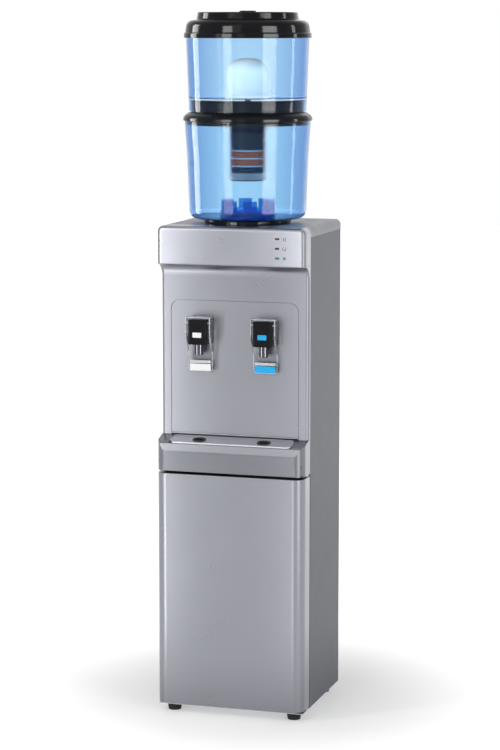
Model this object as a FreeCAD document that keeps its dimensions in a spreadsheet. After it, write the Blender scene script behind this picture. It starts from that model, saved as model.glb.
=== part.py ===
import FreeCAD, Part
import math
import os
from types import SimpleNamespace

import Sketcher

# A free-standing water cooler with a two-stage filter bottle on top, two push taps, a lift-out drip
# tray and a storage cupboard with a hinged door. Millimetres, +Z up, the front faces -Y and the
# origin is the middle of the footprint on the floor.

SIZES = [
    # the cabinet
    ("cabinetWidth", 310, "across the side panels"),
    ("cabinetHeight", 1000, "floor to the top cover"),
    ("frontReach", 155, "origin to the front of the door and the drip shelf"),
    ("rearReach", 155, "origin to the back of the condenser"),
    ("fasciaSetback", 14, "fascia behind the door's front"),
    ("panelSetback", 42, "tap panel behind the door's front"),
    ("seamSetback", 56, "front edge of the side panels behind the door's front"),
    ("rearInset", 28, "rear edge of the side panels ahead of the condenser's back"),
    ("sheetWall", 1.0, "folded steel sheet"),
    ("bendRadius", 2.0, "outside of a sheet bend"),
    ("flangeWidth", 14, "folded edges of the side panels"),
    ("mouldWall", 3.0, "front mouldings"),
    ("fitGap", 0.3, "clearance between seated pieces"),
    ("seamGap", 0.5, "fixed front mouldings to the side panels"),
    # feet and base
    ("footHeight", 17, "floor to the base"),
    ("footRadius", 15, ""),
    ("footStemRadius", 4, "threaded stem of a foot"),
    ("footInsetX", 27, "foot axis from the cabinet's side"),
    ("footInsetFront", 37, "foot axis from the door's front"),
    ("footInsetRear", 26, "foot axis from the rear edge"),
    ("baseSheet", 1.5, "base plate"),
    ("baseFlange", 16, "turned-up edges of the base plate"),
    ("baseFrontInset", 10, "base plate's front edge behind the door's front"),
    # top cover and bottle seat
    ("topEdgeRadius", 12, "long edges of the top"),
    ("coverSkirt", 20, "height of the top cover's outer wall"),
    ("coverLip", 10, "lip inside the side panels"),
    ("coverWall", 2.5, ""),
    ("bottleSetback", 132, "bottle axis behind the door's front"),
    ("seatRadius", 88, "flange that the bottle stands on"),
    ("seatHeight", 9.7, "seat flange above the top cover"),
    ("seatWall", 3, ""),
    ("throatRadius", 32, "bore of the seat round the bottle's neck"),
    ("throatDepth", 62, "seat's throat below the top cover"),
    # fascia
    ("fasciaHeight", 75, ""),
    ("fasciaCorner", 9, "vertical front corners"),
    ("ledInset", 57.8, "indicator windows from the cabinet's side"),
    ("ledTopDrop", 21, "top window below the cabinet's top"),
    ("ledPitch", 19.2, ""),
    ("ledWidth", 9, ""),
    ("ledHeight", 4, ""),
    # tap panel
    ("coveRadius", 28, "cove under the fascia"),
    ("coveLip", 1.5, "edge of the cove under the fascia"),
    ("postRadius", 8, "rounded posts beside the tap panel"),
    ("panelWidth", 269, "opening for the splash panel"),
    ("panelTopDrop", 150, "top of the opening below the cabinet's top"),
    ("panelCorner", 20, "upper corners of the opening"),
    ("panelGroove", 0.9, "groove round the splash panel"),
    ("panelFlange", 5, "flange of the splash panel behind the frame"),
    ("panelRoll", 2, "radius of the splash panel's rolled foot"),
    # drip shelf and drip tray
    ("doorTop", 499.5, "top edge of the door"),
    ("doorGap", 5, "door to drip shelf"),
    ("chinHeight", 40.5, "front face of the shelf up to its crease"),
    ("chinFacet", 15, "slanted facet above the crease"),
    ("chinSlant", 6, "how far the facet leans back"),
    ("frontCorner", 22, "vertical corners of the shelf and the door"),
    ("shelfRise", 13.5, "foot of the splash panel above the shelf's front edge"),
    ("trayWidth", 258, ""),
    ("trayFront", 7.5, "front edge of the tray behind the shelf's front"),
    ("trayRear", 39, "rear edge of the tray behind the shelf's front"),
    ("trayCorner", 11, "corners of the tray's cover, seen from above"),
    ("traySlope", 8.5, "rise of the tray from front to rear"),
    ("trayLip", 1.5, "rear lip of the tray above its slope"),
    ("traySheet", 2.5, ""),
    ("cupDepth", 30, "collecting cup under the tray"),
    ("cupWall", 2, ""),
    ("drainSetback", 21, "drain holes behind the shelf's front"),
    ("drainWidth", 24, "drain slot, left to right"),
    ("drainDepth", 15, "drain slot, front to back"),
    ("drainRingWidth", 2.2, "bright rim of a drain hole"),
    # taps
    ("tapOffsetX", 68, "tap axes from the middle"),
    ("tapTop", 814, "top of the tap's block"),
    ("tapHeight", 51, ""),
    ("tapWidth", 40, ""),
    ("tapReach", 34, "block in front of the tap panel"),
    ("tapCorner", 4, ""),
    ("spigotRadius", 11, "threaded spigot through the splash panel"),
    ("spigotLength", 20, "spigot behind the tap panel"),
    ("nutRadius", 16, ""),
    ("nutWall", 6, ""),
    ("nozzleRadius", 9, ""),
    ("nozzleBore", 6, ""),
    ("nozzleLength", 21, ""),
    ("nozzleSetback", 12.5, "nozzle axis behind the block's front"),
    ("leverWidth", 52, ""),
    ("leverArm", 4, "thickness of the lever's arms"),
    ("leverTop", 818.5, ""),
    ("leverBottom", 706.5, ""),
    ("leverPaddle", 3, "thickness of the paddle"),
    ("leverTab", 17, "width of the raised middle of the lever's bar"),
    ("leverTabRise", 1.2, ""),
    ("pinDrop", 8, "lever pin below the block's top"),
    ("pinRadius", 2, ""),
    ("pinSetback", 9, "lever pin behind the block's front"),
    ("bandHeight", 13.5, "coloured band of the paddle"),
    ("bandWall", 1.5, ""),
    ("labelWidth", 18.5, "coloured plate on the block"),
    ("labelHeight", 10, ""),
    ("labelDrop", 26.5, "plate below the block's top"),
    # door
    ("doorLift", 3, "door above the base plate"),
    ("doorClear", 3, "door's rear edge ahead of the side panels"),
    ("doorEdge", 1.5, ""),
    ("hingeInsetX", 5.5, "hinge axis inside the door's side"),
    ("hingeInsetY", 8, "hinge axis ahead of the side panels"),
    ("hingePinRadius", 2.5, ""),
    ("hingePinReach", 14, "pin inside the door"),
    ("hingeRunning", 0.06, "pin to its hole"),
    ("hingeBoss", 5.2, "radius of the door's hinge boss"),
    ("linerSheet", 2, "inner panel of the door"),
    ("linerRib", 30, "stiffening rib of the inner panel from the door's edges"),
    ("gasketWidth", 9, ""),
    # storage cupboard
    ("liningWall", 2, ""),
    ("liningSideGap", 0.5, "lining to the side panels' flanges"),
    ("liningRearGap", 21, "upper part of the cupboard to the rear sheet"),
    ("liningStepGap", 17, "lower part of the cupboard to the compressor"),
    ("liningStepHeight", 215, "step over the compressor"),
    ("liningFloor", 9, "cupboard floor above the base plate"),
    ("liningTopDrop", 12, "cupboard's top below the door's top"),
    ("liningFront", 1.5, "front flange of the lining"),
    ("liningLip", 3, "front flange outside the lining's walls"),
    # cooling
    ("tankRadius", 62, ""),
    ("tankHeight", 150, ""),
    ("tankWall", 1, ""),
    ("foamWall", 17, ""),
    ("foamFloor", 20, ""),
    ("tankSetback", 180, "tank axis behind the door's front"),
    ("deckTop", 700, "upper deck's sheet"),
    ("feedRadius", 9, "feed tube"),
    ("feedWall", 2, ""),
    ("hoseRadius", 5, ""),
    ("hoseWall", 2, ""),
    ("tailLength", 12, "hose tail of a tap"),
    ("lineRadius", 3.2, "suction tube"),
    ("compressorInset", 69, "compressor's middle ahead of the side panels' rear"),
    ("suctionPort", 85, "suction tube above the compressor's foot plate"),
    ("dischargePort", 60, "condenser's tube above the compressor's foot plate"),
    ("compressorPlate", 2.5, "foot plate"),
    ("compressorStud", 3, "stud of a rubber mount"),
    ("compressorLength", 150, ""),
    ("compressorDepth", 96, ""),
    ("compressorHeight", 128, ""),
    ("compressorLift", 14, "compressor above the base plate"),
    ("compressorRound", 34, ""),
    ("condenserWidth", 236, ""),
    ("condenserBottom", 330, ""),
    ("condenserPitch", 64, ""),
    ("condenserTube", 2.4, "radius"),
    ("condenserWire", 0.9, "radius"),
    ("wireOverhang", 8, "wires past the first and last pass"),
    ("bracketOffset", 60, "condenser brackets from the middle"),
    ("screwShank", 1.6, ""),
    ("screwClear", 0.1, "screw to its hole in a side panel"),
    ("screwHead", 3.6, ""),
    ("glandRadius", 8, ""),
    ("glandInset", 25, "cord gland from the cabinet's side"),
    ("glandRise", 30, "cord gland from the rear sheet's foot"),
    ("ventDrop", 119, "lowest vent below the rear sheet's top"),
    ("ventWidth", 60, ""),
    ("ventHeight", 5, ""),
    ("ventPitch", 14, ""),
    # filter bottle, heights above the top cover and radii
    ("neckRadius", 27, ""),
    ("neckWall", 2.5, ""),
    ("neckDepth", 40, "neck below the bottle's base"),
    ("tankSkin", 2.5, "wall of the clear tanks"),
    ("lowerBase", 10, "bottle's base above the top cover"),
    ("lowerBaseRadius", 118.3, ""),
    ("lowerRound", 17, ""),
    ("lowerTop", 206, ""),
    ("lowerTopRadius", 127.5, ""),
    ("rimRadius", 130.5, "black ring between the tanks"),
    ("deckHeight", 249, "top of the lower tank's cover"),
    ("coverRadius", 114.5, "raised part of the lower tank's cover"),
    ("upperSkirt", 226, "bottom edge of the upper tank's skirt"),
    ("upperSkirtRadius", 118.4, ""),
    ("upperTop", 376, ""),
    ("upperTopRadius", 124.4, ""),
    ("lidRimRadius", 128.4, ""),
    ("lidRimBottom", 371.7, ""),
    ("lidRimTop", 381.5, ""),
    ("lidShoulder", 409, ""),
    ("lidDiscRadius", 100, ""),
    ("lidTop", 423, ""),
    ("lidWall", 2.5, ""),
    ("lidHub", 16, "radius of the lid's hub"),
    ("domeWall", 8, ""),
    ("stemRadius", 6, "threaded stem of the ceramic filter"),
    ("cartridgeGap", 2.5, "cartridge to its hole"),
    ("domeRadius", 43.3, "ceramic filter"),
    ("domeHeight", 73, ""),
    ("domeBaseHeight", 6, ""),
    ("cartridgeRadius", 37.2, ""),
    ("cartridgeSkin", 1.6, ""),
    ("cartridgeCapBottom", 184, ""),
    ("mediaTop", 148, "top of the upper mineral layer's pad"),
    ("mediaPitch", 15.6, "one mineral layer with its pad"),
    ("padHeight", 2, ""),
    ("meshTop", 103.5, ""),
    ("meshBottom", 86, ""),
    ("guardRadius", 54.4, "castellated ring on the lower tank's floor"),
    ("guardHeight", 34, ""),
    ("guardWall", 4, ""),
    ("guardGap", 15, ""),
]

doc = FreeCAD.newDocument("WaterCooler")
sheet = doc.addObject("Spreadsheet::Sheet", "Dimensions")
for row, (name, number, note) in enumerate(SIZES, start=1):
    sheet.set(f"A{row}", name)
    sheet.set(f"B{row}", str(number))
    sheet.set(f"C{row}", note)
    sheet.setAlias(f"B{row}", name)
doc.recompute()


class Size:
    """A length that carries its number and the expression that gives it."""

    def __init__(self, value, text):
        self.value = float(value)
        self.text = text

    def __add__(self, other):
        other = as_size(other)
        return Size(self.value + other.value, f"({self.text} + {other.text})")

    def __sub__(self, other):
        other = as_size(other)
        return Size(self.value - other.value, f"({self.text} - {other.text})")

    def __mul__(self, factor):
        factor = as_size(factor)
        return Size(self.value * factor.value, f"({self.text} * {factor.text})")

    def __truediv__(self, factor):
        factor = as_size(factor)
        return Size(self.value / factor.value, f"({self.text} / {factor.text})")

    def __neg__(self):
        return Size(-self.value, f"(-1 * {self.text})")

    def __radd__(self, other):
        return as_size(other) + self

    def __rsub__(self, other):
        return as_size(other) - self

    def __rmul__(self, factor):
        return as_size(factor) * self


def as_size(number):
    return number if isinstance(number, Size) else Size(number, f"({float(number)!r})")


d = SimpleNamespace(**{name: Size(sheet.get(name), f"Dimensions.{name}") for name, _, _ in SIZES})
ZERO = as_size(0)
NODES = {}


def bind(thing, path, size):
    thing.setExpression(path, as_size(size).text)


def keep(thing, name):
    """Give a finished sub-part its name."""
    thing.Label = name
    NODES[name] = thing
    return thing


# ---- sketches and bodies ----

def body(name, x=ZERO, y=ZERO, z=ZERO):
    made = doc.addObject("PartDesign::Body", name)
    for axis, place in zip("xyz", (x, y, z)):
        bind(made, f"Placement.Base.{axis}", place)
    return keep(made, name)


def point_of(spot):
    return FreeCAD.Vector(spot[0].value, spot[1].value, 0)


def outline(*corners):
    """A closed outline; a corner is (x, y) or (x, y, radius)."""
    sizes = [tuple(as_size(number) for number in corner) for corner in corners]
    return lambda sketch: draw_outline(sketch, sizes)


def rectangle(x0, y0, x1, y1, *radius):
    return outline((x0, y0, *radius), (x1, y0, *radius), (x1, y1, *radius), (x0, y1, *radius))


def circle(x, y, radius):
    sizes = [as_size(number) for number in (x, y, radius)]
    return lambda sketch: draw_circle(sketch, *sizes)


def pin_point(sketch, index, position, x, y):
    """Hold a sketch point at x, y, both bound to the sheet."""
    for kind, size in (("DistanceX", x), ("DistanceY", y)):
        rule = sketch.addConstraint(Sketcher.Constraint(kind, -1, 1, index, position, size.value))
        bind(sketch, f"Constraints[{rule}]", size)


def draw_circle(sketch, x, y, radius):
    ring = Part.Circle(FreeCAD.Vector(x.value, y.value, 0), FreeCAD.Vector(0, 0, 1), radius.value)
    index = sketch.addGeometry(ring, False)
    pin_point(sketch, index, 3, x, y)
    rule = sketch.addConstraint(Sketcher.Constraint("Radius", index, radius.value))
    bind(sketch, f"Constraints[{rule}]", radius)


def corner_arc(here, last, following, radius):
    """The arc that rounds a corner, and the two points where it leaves the edges."""
    back = (last - here).normalize()
    ahead = (following - here).normalize()
    half = back.getAngle(ahead) / 2
    start = here + back * (radius / math.tan(half))
    end = here + ahead * (radius / math.tan(half))
    middle = here + (back + ahead).normalize() * (radius / math.sin(half))
    left_turn = back.cross(ahead).z < 0
    first, second = (start, end) if left_turn else (end, start)
    angles = [math.atan2(spot.y - middle.y, spot.x - middle.x) for spot in (first, second)]
    if angles[1] < angles[0]:
        angles[1] += 2 * math.pi
    ring = Part.Circle(middle, FreeCAD.Vector(0, 0, 1), radius)
    return start, end, Part.ArcOfCircle(ring, *angles), left_turn


def draw_outline(sketch, corners):
    count = len(corners)
    spots = [point_of(corner) for corner in corners]
    starts, ends, arcs = list(spots), list(spots), {}
    for i, corner in enumerate(corners):
        if len(corner) > 2:
            found = corner_arc(spots[i], spots[i - 1], spots[(i + 1) % count], corner[2].value)
            ends[i], starts[i], arcs[i] = found[0], found[1], found[2:]
    edges = [Part.LineSegment(starts[i], ends[(i + 1) % count]) for i in range(count)]
    lines = sketch.addGeometry(edges, False)
    for i, corner in enumerate(corners):
        before, after = lines[i - 1], lines[i]
        if i not in arcs:
            sketch.addConstraint(Sketcher.Constraint("Coincident", before, 2, after, 1))
            pin_point(sketch, after, 1, corner[0], corner[1])
            continue
        arc, left_turn = arcs[i]
        index = sketch.addGeometry(arc, False)
        spot = sketch.addGeometry(Part.Point(spots[i]), True)
        leaving, joining = (1, 2) if left_turn else (2, 1)
        sketch.addConstraint([
            Sketcher.Constraint("Tangent", before, 2, index, leaving),
            Sketcher.Constraint("Tangent", index, joining, after, 1),
            Sketcher.Constraint("PointOnObject", spot, 1, before),
            Sketcher.Constraint("PointOnObject", spot, 1, after),
        ])
        rule = sketch.addConstraint(Sketcher.Constraint("Radius", index, corner[2].value))
        bind(sketch, f"Constraints[{rule}]", corner[2])
        pin_point(sketch, spot, 1, corner[0], corner[1])


def sketch_on(owner, plane, at, shapes):
    """A sketch on one of the body's own origin planes, moved along the plane's axis."""
    sketch = owner.newObject("Sketcher::SketchObject", f"{owner.Name}_sketch")
    support = next(part for part in owner.Origin.OriginFeatures if part.Role == f"{plane}_Plane")
    sketch.AttachmentSupport = (support, [""])
    sketch.MapMode = "FlatFace"
    bind(sketch, "AttachmentOffset.Base.z", -as_size(at) if plane == "XZ" else at)
    for shape in shapes:
        shape(sketch)
    return sketch


def settle(owner, feature, grows):
    """Recompute a feature and compare the volume, so that a cut that misses is found."""
    before = feature.BaseFeature.Shape.Volume if feature.BaseFeature else 0
    doc.recompute()
    change = feature.Shape.Volume - before
    if (change > 0) != grows or abs(change) < 1e-6:
        raise RuntimeError(f"{owner.Label}: {feature.Label} changes the volume by {change:.4f}")
    return feature


def pad(owner, plane, at, length, *shapes):
    """Material from `at` towards the positive axis."""
    feature = owner.newObject("PartDesign::Pad", f"{owner.Name}_pad")
    feature.Profile = sketch_on(owner, plane, at, shapes)
    feature.Reversed = plane == "XZ"
    bind(feature, "Length", length)
    return settle(owner, feature, True)


def pocket(owner, plane, at, length, *shapes):
    """A cut from `at` towards the positive axis."""
    feature = owner.newObject("PartDesign::Pocket", f"{owner.Name}_pocket")
    feature.Profile = sketch_on(owner, plane, at, shapes)
    feature.Reversed = plane != "XZ"
    bind(feature, "Length", length)
    return settle(owner, feature, False)


def spin(owner, *shapes):
    """A turned solid about the body's Z axis; sketch x is the radius."""
    feature = owner.newObject("PartDesign::Revolution", f"{owner.Name}_turn")
    sketch = sketch_on(owner, "XZ", ZERO, shapes)
    feature.Profile = sketch
    feature.ReferenceAxis = (sketch, ["V_Axis"])
    feature.Angle = 360
    return settle(owner, feature, True)


def round_edges(owner, radius, chosen):
    """Fillet the edges of the body's tip whose middle point passes the test."""
    tip = owner.Tip
    names = [f"Edge{i}" for i, edge in enumerate(tip.Shape.Edges, start=1) if chosen(edge)]
    feature = owner.newObject("PartDesign::Fillet", f"{owner.Name}_round")
    feature.Base = (tip, names)
    bind(feature, "Radius", radius)
    doc.recompute()
    return feature


def repeat_round(owner, feature, count):
    """A polar pattern of one feature about the body's Z axis."""
    pattern = owner.newObject("PartDesign::PolarPattern", f"{owner.Name}_ring")
    pattern.Originals = [feature]
    axis = next(part for part in owner.Origin.OriginFeatures if part.Role == "Z_Axis")
    pattern.Axis = (axis, [""])
    pattern.Angle = 360
    pattern.Occurrences = count
    owner.Tip = pattern
    doc.recompute()
    return pattern


def repeat_along(owner, feature, role, pitch, count):
    """A linear pattern of one feature along one of the body's axes."""
    pattern = owner.newObject("PartDesign::LinearPattern", f"{owner.Name}_row")
    pattern.Originals = [feature]
    axis = next(part for part in owner.Origin.OriginFeatures if part.Role == role)
    pattern.Direction = (axis, [""])
    bind(pattern, "Length", pitch * (count - 1))
    pattern.Occurrences = count
    owner.Tip = pattern
    doc.recompute()
    return pattern


# ---- primitives ----

TURNS = {
    "X": FreeCAD.Rotation(FreeCAD.Vector(0, 1, 0), 90),
    "Y": FreeCAD.Rotation(FreeCAD.Vector(1, 0, 0), -90),
    "Z": FreeCAD.Rotation(),
}


def place(thing, x, y, z):
    for axis, size in zip("xyz", (x, y, z)):
        bind(thing, f"Placement.Base.{axis}", size)
    return thing


def block(name, x0, y0, z0, x1, y1, z1):
    thing = doc.addObject("Part::Box", name)
    for side, low, high in (("Length", x0, x1), ("Width", y0, y1), ("Height", z0, z1)):
        bind(thing, side, as_size(high) - low)
    return place(thing, x0, y0, z0)


def rod(name, axis, x, y, z, radius, length):
    """A cylinder that starts at x, y, z and runs along the positive axis."""
    thing = doc.addObject("Part::Cylinder", name)
    thing.Placement.Rotation = TURNS[axis]
    bind(thing, "Radius", radius)
    bind(thing, "Height", length)
    return place(thing, x, y, z)


def fuse(name, *things):
    joined = doc.addObject("Part::MultiFuse", name)
    joined.Shapes = list(things)
    joined.Refine = True
    return joined


def cut(name, base, *tools):
    result = doc.addObject("Part::Cut", name)
    result.Base = base
    result.Tool = tools[0] if len(tools) == 1 else fuse(f"{name}_tools", *tools)
    result.Refine = True
    return result


def common(name, base, tool):
    result = doc.addObject("Part::Common", name)
    result.Base, result.Tool = base, tool
    return result


def group(name, things):
    """Separate solids that share one node."""
    for thing in things:
        NODES.pop(thing.Label, None)
    together = doc.addObject("Part::Compound", name)
    together.Links = things
    return keep(together, name)


def heading(start, end):
    """The axis on which two points of a run differ, and the sign of the way there."""
    gaps = [as_size(b) - a for a, b in zip(start, end)]
    index = max(range(3), key=lambda i: abs(gaps[i].value))
    return index, (1 if gaps[index].value > 0 else -1), gaps[index]


def pipe(name, radius, bend, *spots, bore=None):
    """A round tube along spots that follow the axes, with a quarter ring at each bend."""
    spots = [tuple(as_size(number) for number in spot) for spot in spots]
    legs = [heading(a, b) for a, b in zip(spots, spots[1:])]
    pieces = []
    for i, (axis, sign, gap) in enumerate(legs):
        shift = bend if i else ZERO
        cutback = shift + (bend if i < len(legs) - 1 else ZERO)
        start = list(spots[i] if sign > 0 else spots[i + 1])
        start[axis] = start[axis] + (shift if sign > 0 else cutback - shift)
        length = gap * sign - cutback

        def leg(label, size):
            return rod(label, "XYZ"[axis], *start, size, length)

        def corner(label, size):
            return elbow(label, spots[i + 1], legs[i], legs[i + 1], size, bend)

        pieces.append(hollow(f"{name}_leg{i}", leg, radius, bore))
        if i < len(legs) - 1:
            pieces.append(hollow(f"{name}_bend{i}", corner, radius, bore))
    return fuse(name, *pieces)


def hollow(name, make, radius, bore):
    """One stretch of a tube, solid or with a bore."""
    outer = make(name, radius)
    return outer if bore is None else cut(f"{name}_wall", outer, make(f"{name}_bore", bore))


def elbow(name, spot, before, after, radius, bend):
    """A quarter ring from the leg `before` into the leg `after`."""
    ring = doc.addObject("Part::Torus", name)
    bind(ring, "Radius1", bend)
    bind(ring, "Radius2", radius)
    ring.Angle3 = 90
    ways = [FreeCAD.Vector(*(sign if i == axis else 0 for i in range(3)))
            for axis, sign, _ in (before, after)]
    ring.Placement.Rotation = FreeCAD.Rotation(-ways[1], ways[0], ways[0].cross(ways[1]), "XYZ")
    middle = list(spot)
    middle[before[0]] = middle[before[0]] - bend * before[1]
    middle[after[0]] = middle[after[0]] + bend * after[1]
    return place(ring, *middle)


# ---- places that several pieces share ----

half = d.cabinetWidth / 2
front = -d.frontReach
fascia_front = front + d.fasciaSetback
panel_front = front + d.panelSetback
seam = front + d.seamSetback
side_rear = d.rearReach - d.rearInset
mould_rear = seam - d.seamGap
base_top = d.footHeight + d.baseSheet
door_bottom = base_top + d.doorLift
door_rear = seam - d.doorClear
shelf_bottom = d.doorTop + d.doorGap
crease = shelf_bottom + d.chinHeight
shelf_edge = crease + d.chinFacet
top = d.cabinetHeight
cover_bottom = top - d.coverSkirt
fascia_bottom = top - d.fasciaHeight
panel_top = top - d.panelTopDrop
bottle_y = front + d.bottleSetback
tank_y = front + d.tankSetback
hinge_x = half - d.hingeInsetX
hinge_y = seam - d.hingeInsetY
inner_half = half - d.sheetWall - d.fitGap
lining_half = half - d.flangeWidth - d.liningSideGap


# ---- cabinet ----

def side_panel(name, side):
    """A folded sheet with a flange along its front and rear edges."""
    made = body(name)
    outer, inner = half * side, (half - d.sheetWall) * side
    edge = (half - d.flangeWidth) * side
    inside = d.bendRadius - d.sheetWall
    low = base_top + d.fitGap
    pad(made, "XY", low, cover_bottom - d.fitGap - low, outline(
        (outer, seam, d.bendRadius), (outer, side_rear, d.bendRadius), (edge, side_rear),
        (edge, side_rear - d.sheetWall), (inner, side_rear - d.sheetWall, inside),
        (inner, seam + d.sheetWall, inside), (edge, seam + d.sheetWall), (edge, seam)))
    holes = [circle(x, z, d.screwShank + d.screwClear) for x, z in screw_spots(side)]
    pocket(made, "XZ", side_rear - d.sheetWall * 2, d.sheetWall * 3, *holes)


def foot_axes():
    """The four feet as (name, x, y)."""
    x = half - d.footInsetX
    rows = {"front": front + d.footInsetFront, "rear": side_rear - d.footInsetRear}
    return [(f"foot_{row}_{side}", x * sign, y)
            for row, y in rows.items() for side, sign in (("left", -1), ("right", 1))]


def base_plate():
    """A flat sheet with turned-up sides and rear, and a hole for each foot."""
    made = body("base_plate")
    rear = side_rear - d.sheetWall - d.fitGap
    pad(made, "XY", d.footHeight, d.baseSheet,
        rectangle(-inner_half, front + d.baseFrontInset, inner_half, rear))
    inner = inner_half - d.baseSheet
    start = seam + d.flangeWidth
    pad(made, "XY", base_top, d.baseFlange, outline(
        (inner_half, start), (inner_half, rear), (-inner_half, rear), (-inner_half, start),
        (-inner, start), (-inner, rear - d.baseSheet), (inner, rear - d.baseSheet), (inner, start)))
    holes = [circle(x, y, d.footStemRadius + d.fitGap) for _, x, y in foot_axes()]
    pocket(made, "XY", d.footHeight, d.baseSheet, *holes)


def foot(name, x, y):
    """A moulded foot with its levelling stem through the base."""
    made = body(name, x, y)
    sole = d.footRadius - 2
    stem_top = base_top + d.doorLift * 0.6
    spin(made, outline(
        (0, 0), (sole, 0, 1), (d.footRadius, d.footHeight - 4), (d.footRadius, d.footHeight),
        (d.footStemRadius, d.footHeight), (d.footStemRadius, stem_top), (0, stem_top)))
    return made


def top_cover():
    """The moulded top: long edges rounded, a lip inside the side panels and a hole for the seat."""
    made = body("top_cover")
    inner = inner_half - d.coverWall
    under = top - d.coverWall
    low = cover_bottom - d.coverLip
    pad(made, "XZ", seam, side_rear - seam, outline(
        (-half, cover_bottom), (-half, top, d.topEdgeRadius), (half, top, d.topEdgeRadius),
        (half, cover_bottom), (inner, cover_bottom), (inner, under, d.topEdgeRadius - d.coverWall),
        (-inner, under, d.topEdgeRadius - d.coverWall), (-inner, cover_bottom)))
    start = seam + d.sheetWall + d.fitGap
    run = side_rear - d.sheetWall - d.fitGap - start
    for x in (-inner_half, inner):
        pad(made, "XZ", start, run, rectangle(x, low, x + d.coverWall, cover_bottom))
    for wall in (seam, side_rear - d.coverWall):
        pad(made, "XZ", wall, d.coverWall, outline(
            (-half, cover_bottom), (-half, top, d.topEdgeRadius),
            (half, top, d.topEdgeRadius), (half, cover_bottom)))
    rib_drop = d.coverSkirt / 2
    rib_reach = d.throatRadius * 1.5
    for rib in (bottle_y - rib_reach, bottle_y + rib_reach):
        pad(made, "XZ", rib, d.coverWall, rectangle(-inner, under - rib_drop, inner, under))
    hole = d.throatRadius + d.seatWall + d.fitGap
    pocket(made, "XY", under - rib_drop, rib_drop + d.coverWall, circle(0, bottle_y, hole))


def bottle_seat():
    """The black funnel that the bottle stands on, with its throat and outlet spigot."""
    made = body("bottle_seat", 0, bottle_y)
    rim = top + d.seatHeight
    floor = top - d.throatDepth
    bore = d.feedRadius - d.feedWall * 2
    spigot = d.feedRadius - d.feedWall - d.fitGap / 3
    wall = d.throatRadius + d.seatWall
    spin(made, outline(
        (d.seatRadius, top), (d.seatRadius, rim, 2.5), (d.seatRadius - 16, rim, 2),
        (d.throatRadius, top + 3, 2), (d.throatRadius, floor, 4), (bore, floor),
        (bore, floor - d.feedRadius * 2), (spigot, floor - d.feedRadius * 2),
        (spigot, floor - d.seatWall), (wall, floor - d.seatWall, 4), (wall, top)))


def fascia():
    """The upper front moulding: a shell with rounded front edges and three indicator windows."""
    made = body("fascia")
    wall = d.mouldWall
    pad(made, "XZ", fascia_front, mould_rear - fascia_front, outline(
        (-half, fascia_bottom), (-half, top, d.topEdgeRadius),
        (half, top, d.topEdgeRadius), (half, fascia_bottom)))

    def front_edge(edge):
        middle = edge.CenterOfMass
        return abs(middle.y - fascia_front.value) < 0.01 and middle.z > fascia_bottom.value + 1

    round_edges(made, d.fasciaCorner, front_edge)
    pocket(made, "XZ", fascia_front + wall * 2, mould_rear - fascia_front, outline(
        (wall - half, fascia_bottom + wall), (wall - half, top - wall, d.topEdgeRadius - wall),
        (half - wall, top - wall, d.topEdgeRadius - wall), (half - wall, fascia_bottom + wall)))
    windows = [led_window(number, ZERO) for number in range(3)]
    pocket(made, "XZ", fascia_front - 1, wall * 2 + 1, *windows)


def led_height(number):
    return top - d.ledTopDrop - d.ledPitch * number


def led_window(number, shrink):
    x, z = half - d.ledInset, led_height(number)
    wide, tall = d.ledWidth / 2 - shrink, d.ledHeight / 2 - shrink
    return rectangle(x - wide, z - tall, x + wide, z + tall, 0.8)


def indicator(name, number):
    """A light pipe: a window in the fascia and a flange behind it."""
    made = body(name)
    inside = fascia_front + d.mouldWall * 2
    gap = d.fitGap / 3
    pad(made, "XZ", fascia_front + gap, inside - fascia_front, led_window(number, gap))
    pad(made, "XZ", inside + gap, 2, led_window(number, -1.5))
    return made


def indicator_board():
    """The lamp board on two pillars behind the fascia."""
    made = body("indicator_board")
    face = fascia_front + d.mouldWall * 2 + 2.5
    x, low, high = half - d.ledInset, led_height(2) - 10, led_height(0) + 8
    pad(made, "XZ", face, 1.6, rectangle(x - 16, low, x + 16, high, 2))
    pillars = [circle(x - 11, low + 5, 2.5), circle(x - 11, high - 5, 2.5)]
    start = fascia_front + d.mouldWall * 2
    pad(made, "XZ", start, face - start, *pillars)


def frame_cove(corner, edge):
    """Side view of the cove, from its wall at `corner` out to the fascia at `edge`."""
    high = fascia_bottom - d.fitGap
    lip = high - d.coveLip
    start = high - d.coveRadius - d.coveLip
    back = corner + (corner - edge) * 0.3
    return outline((back, start), (corner, start), (corner, lip, d.coveRadius - d.coveLip * 2),
                   (edge, lip), (edge, high), (back, high))


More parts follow.
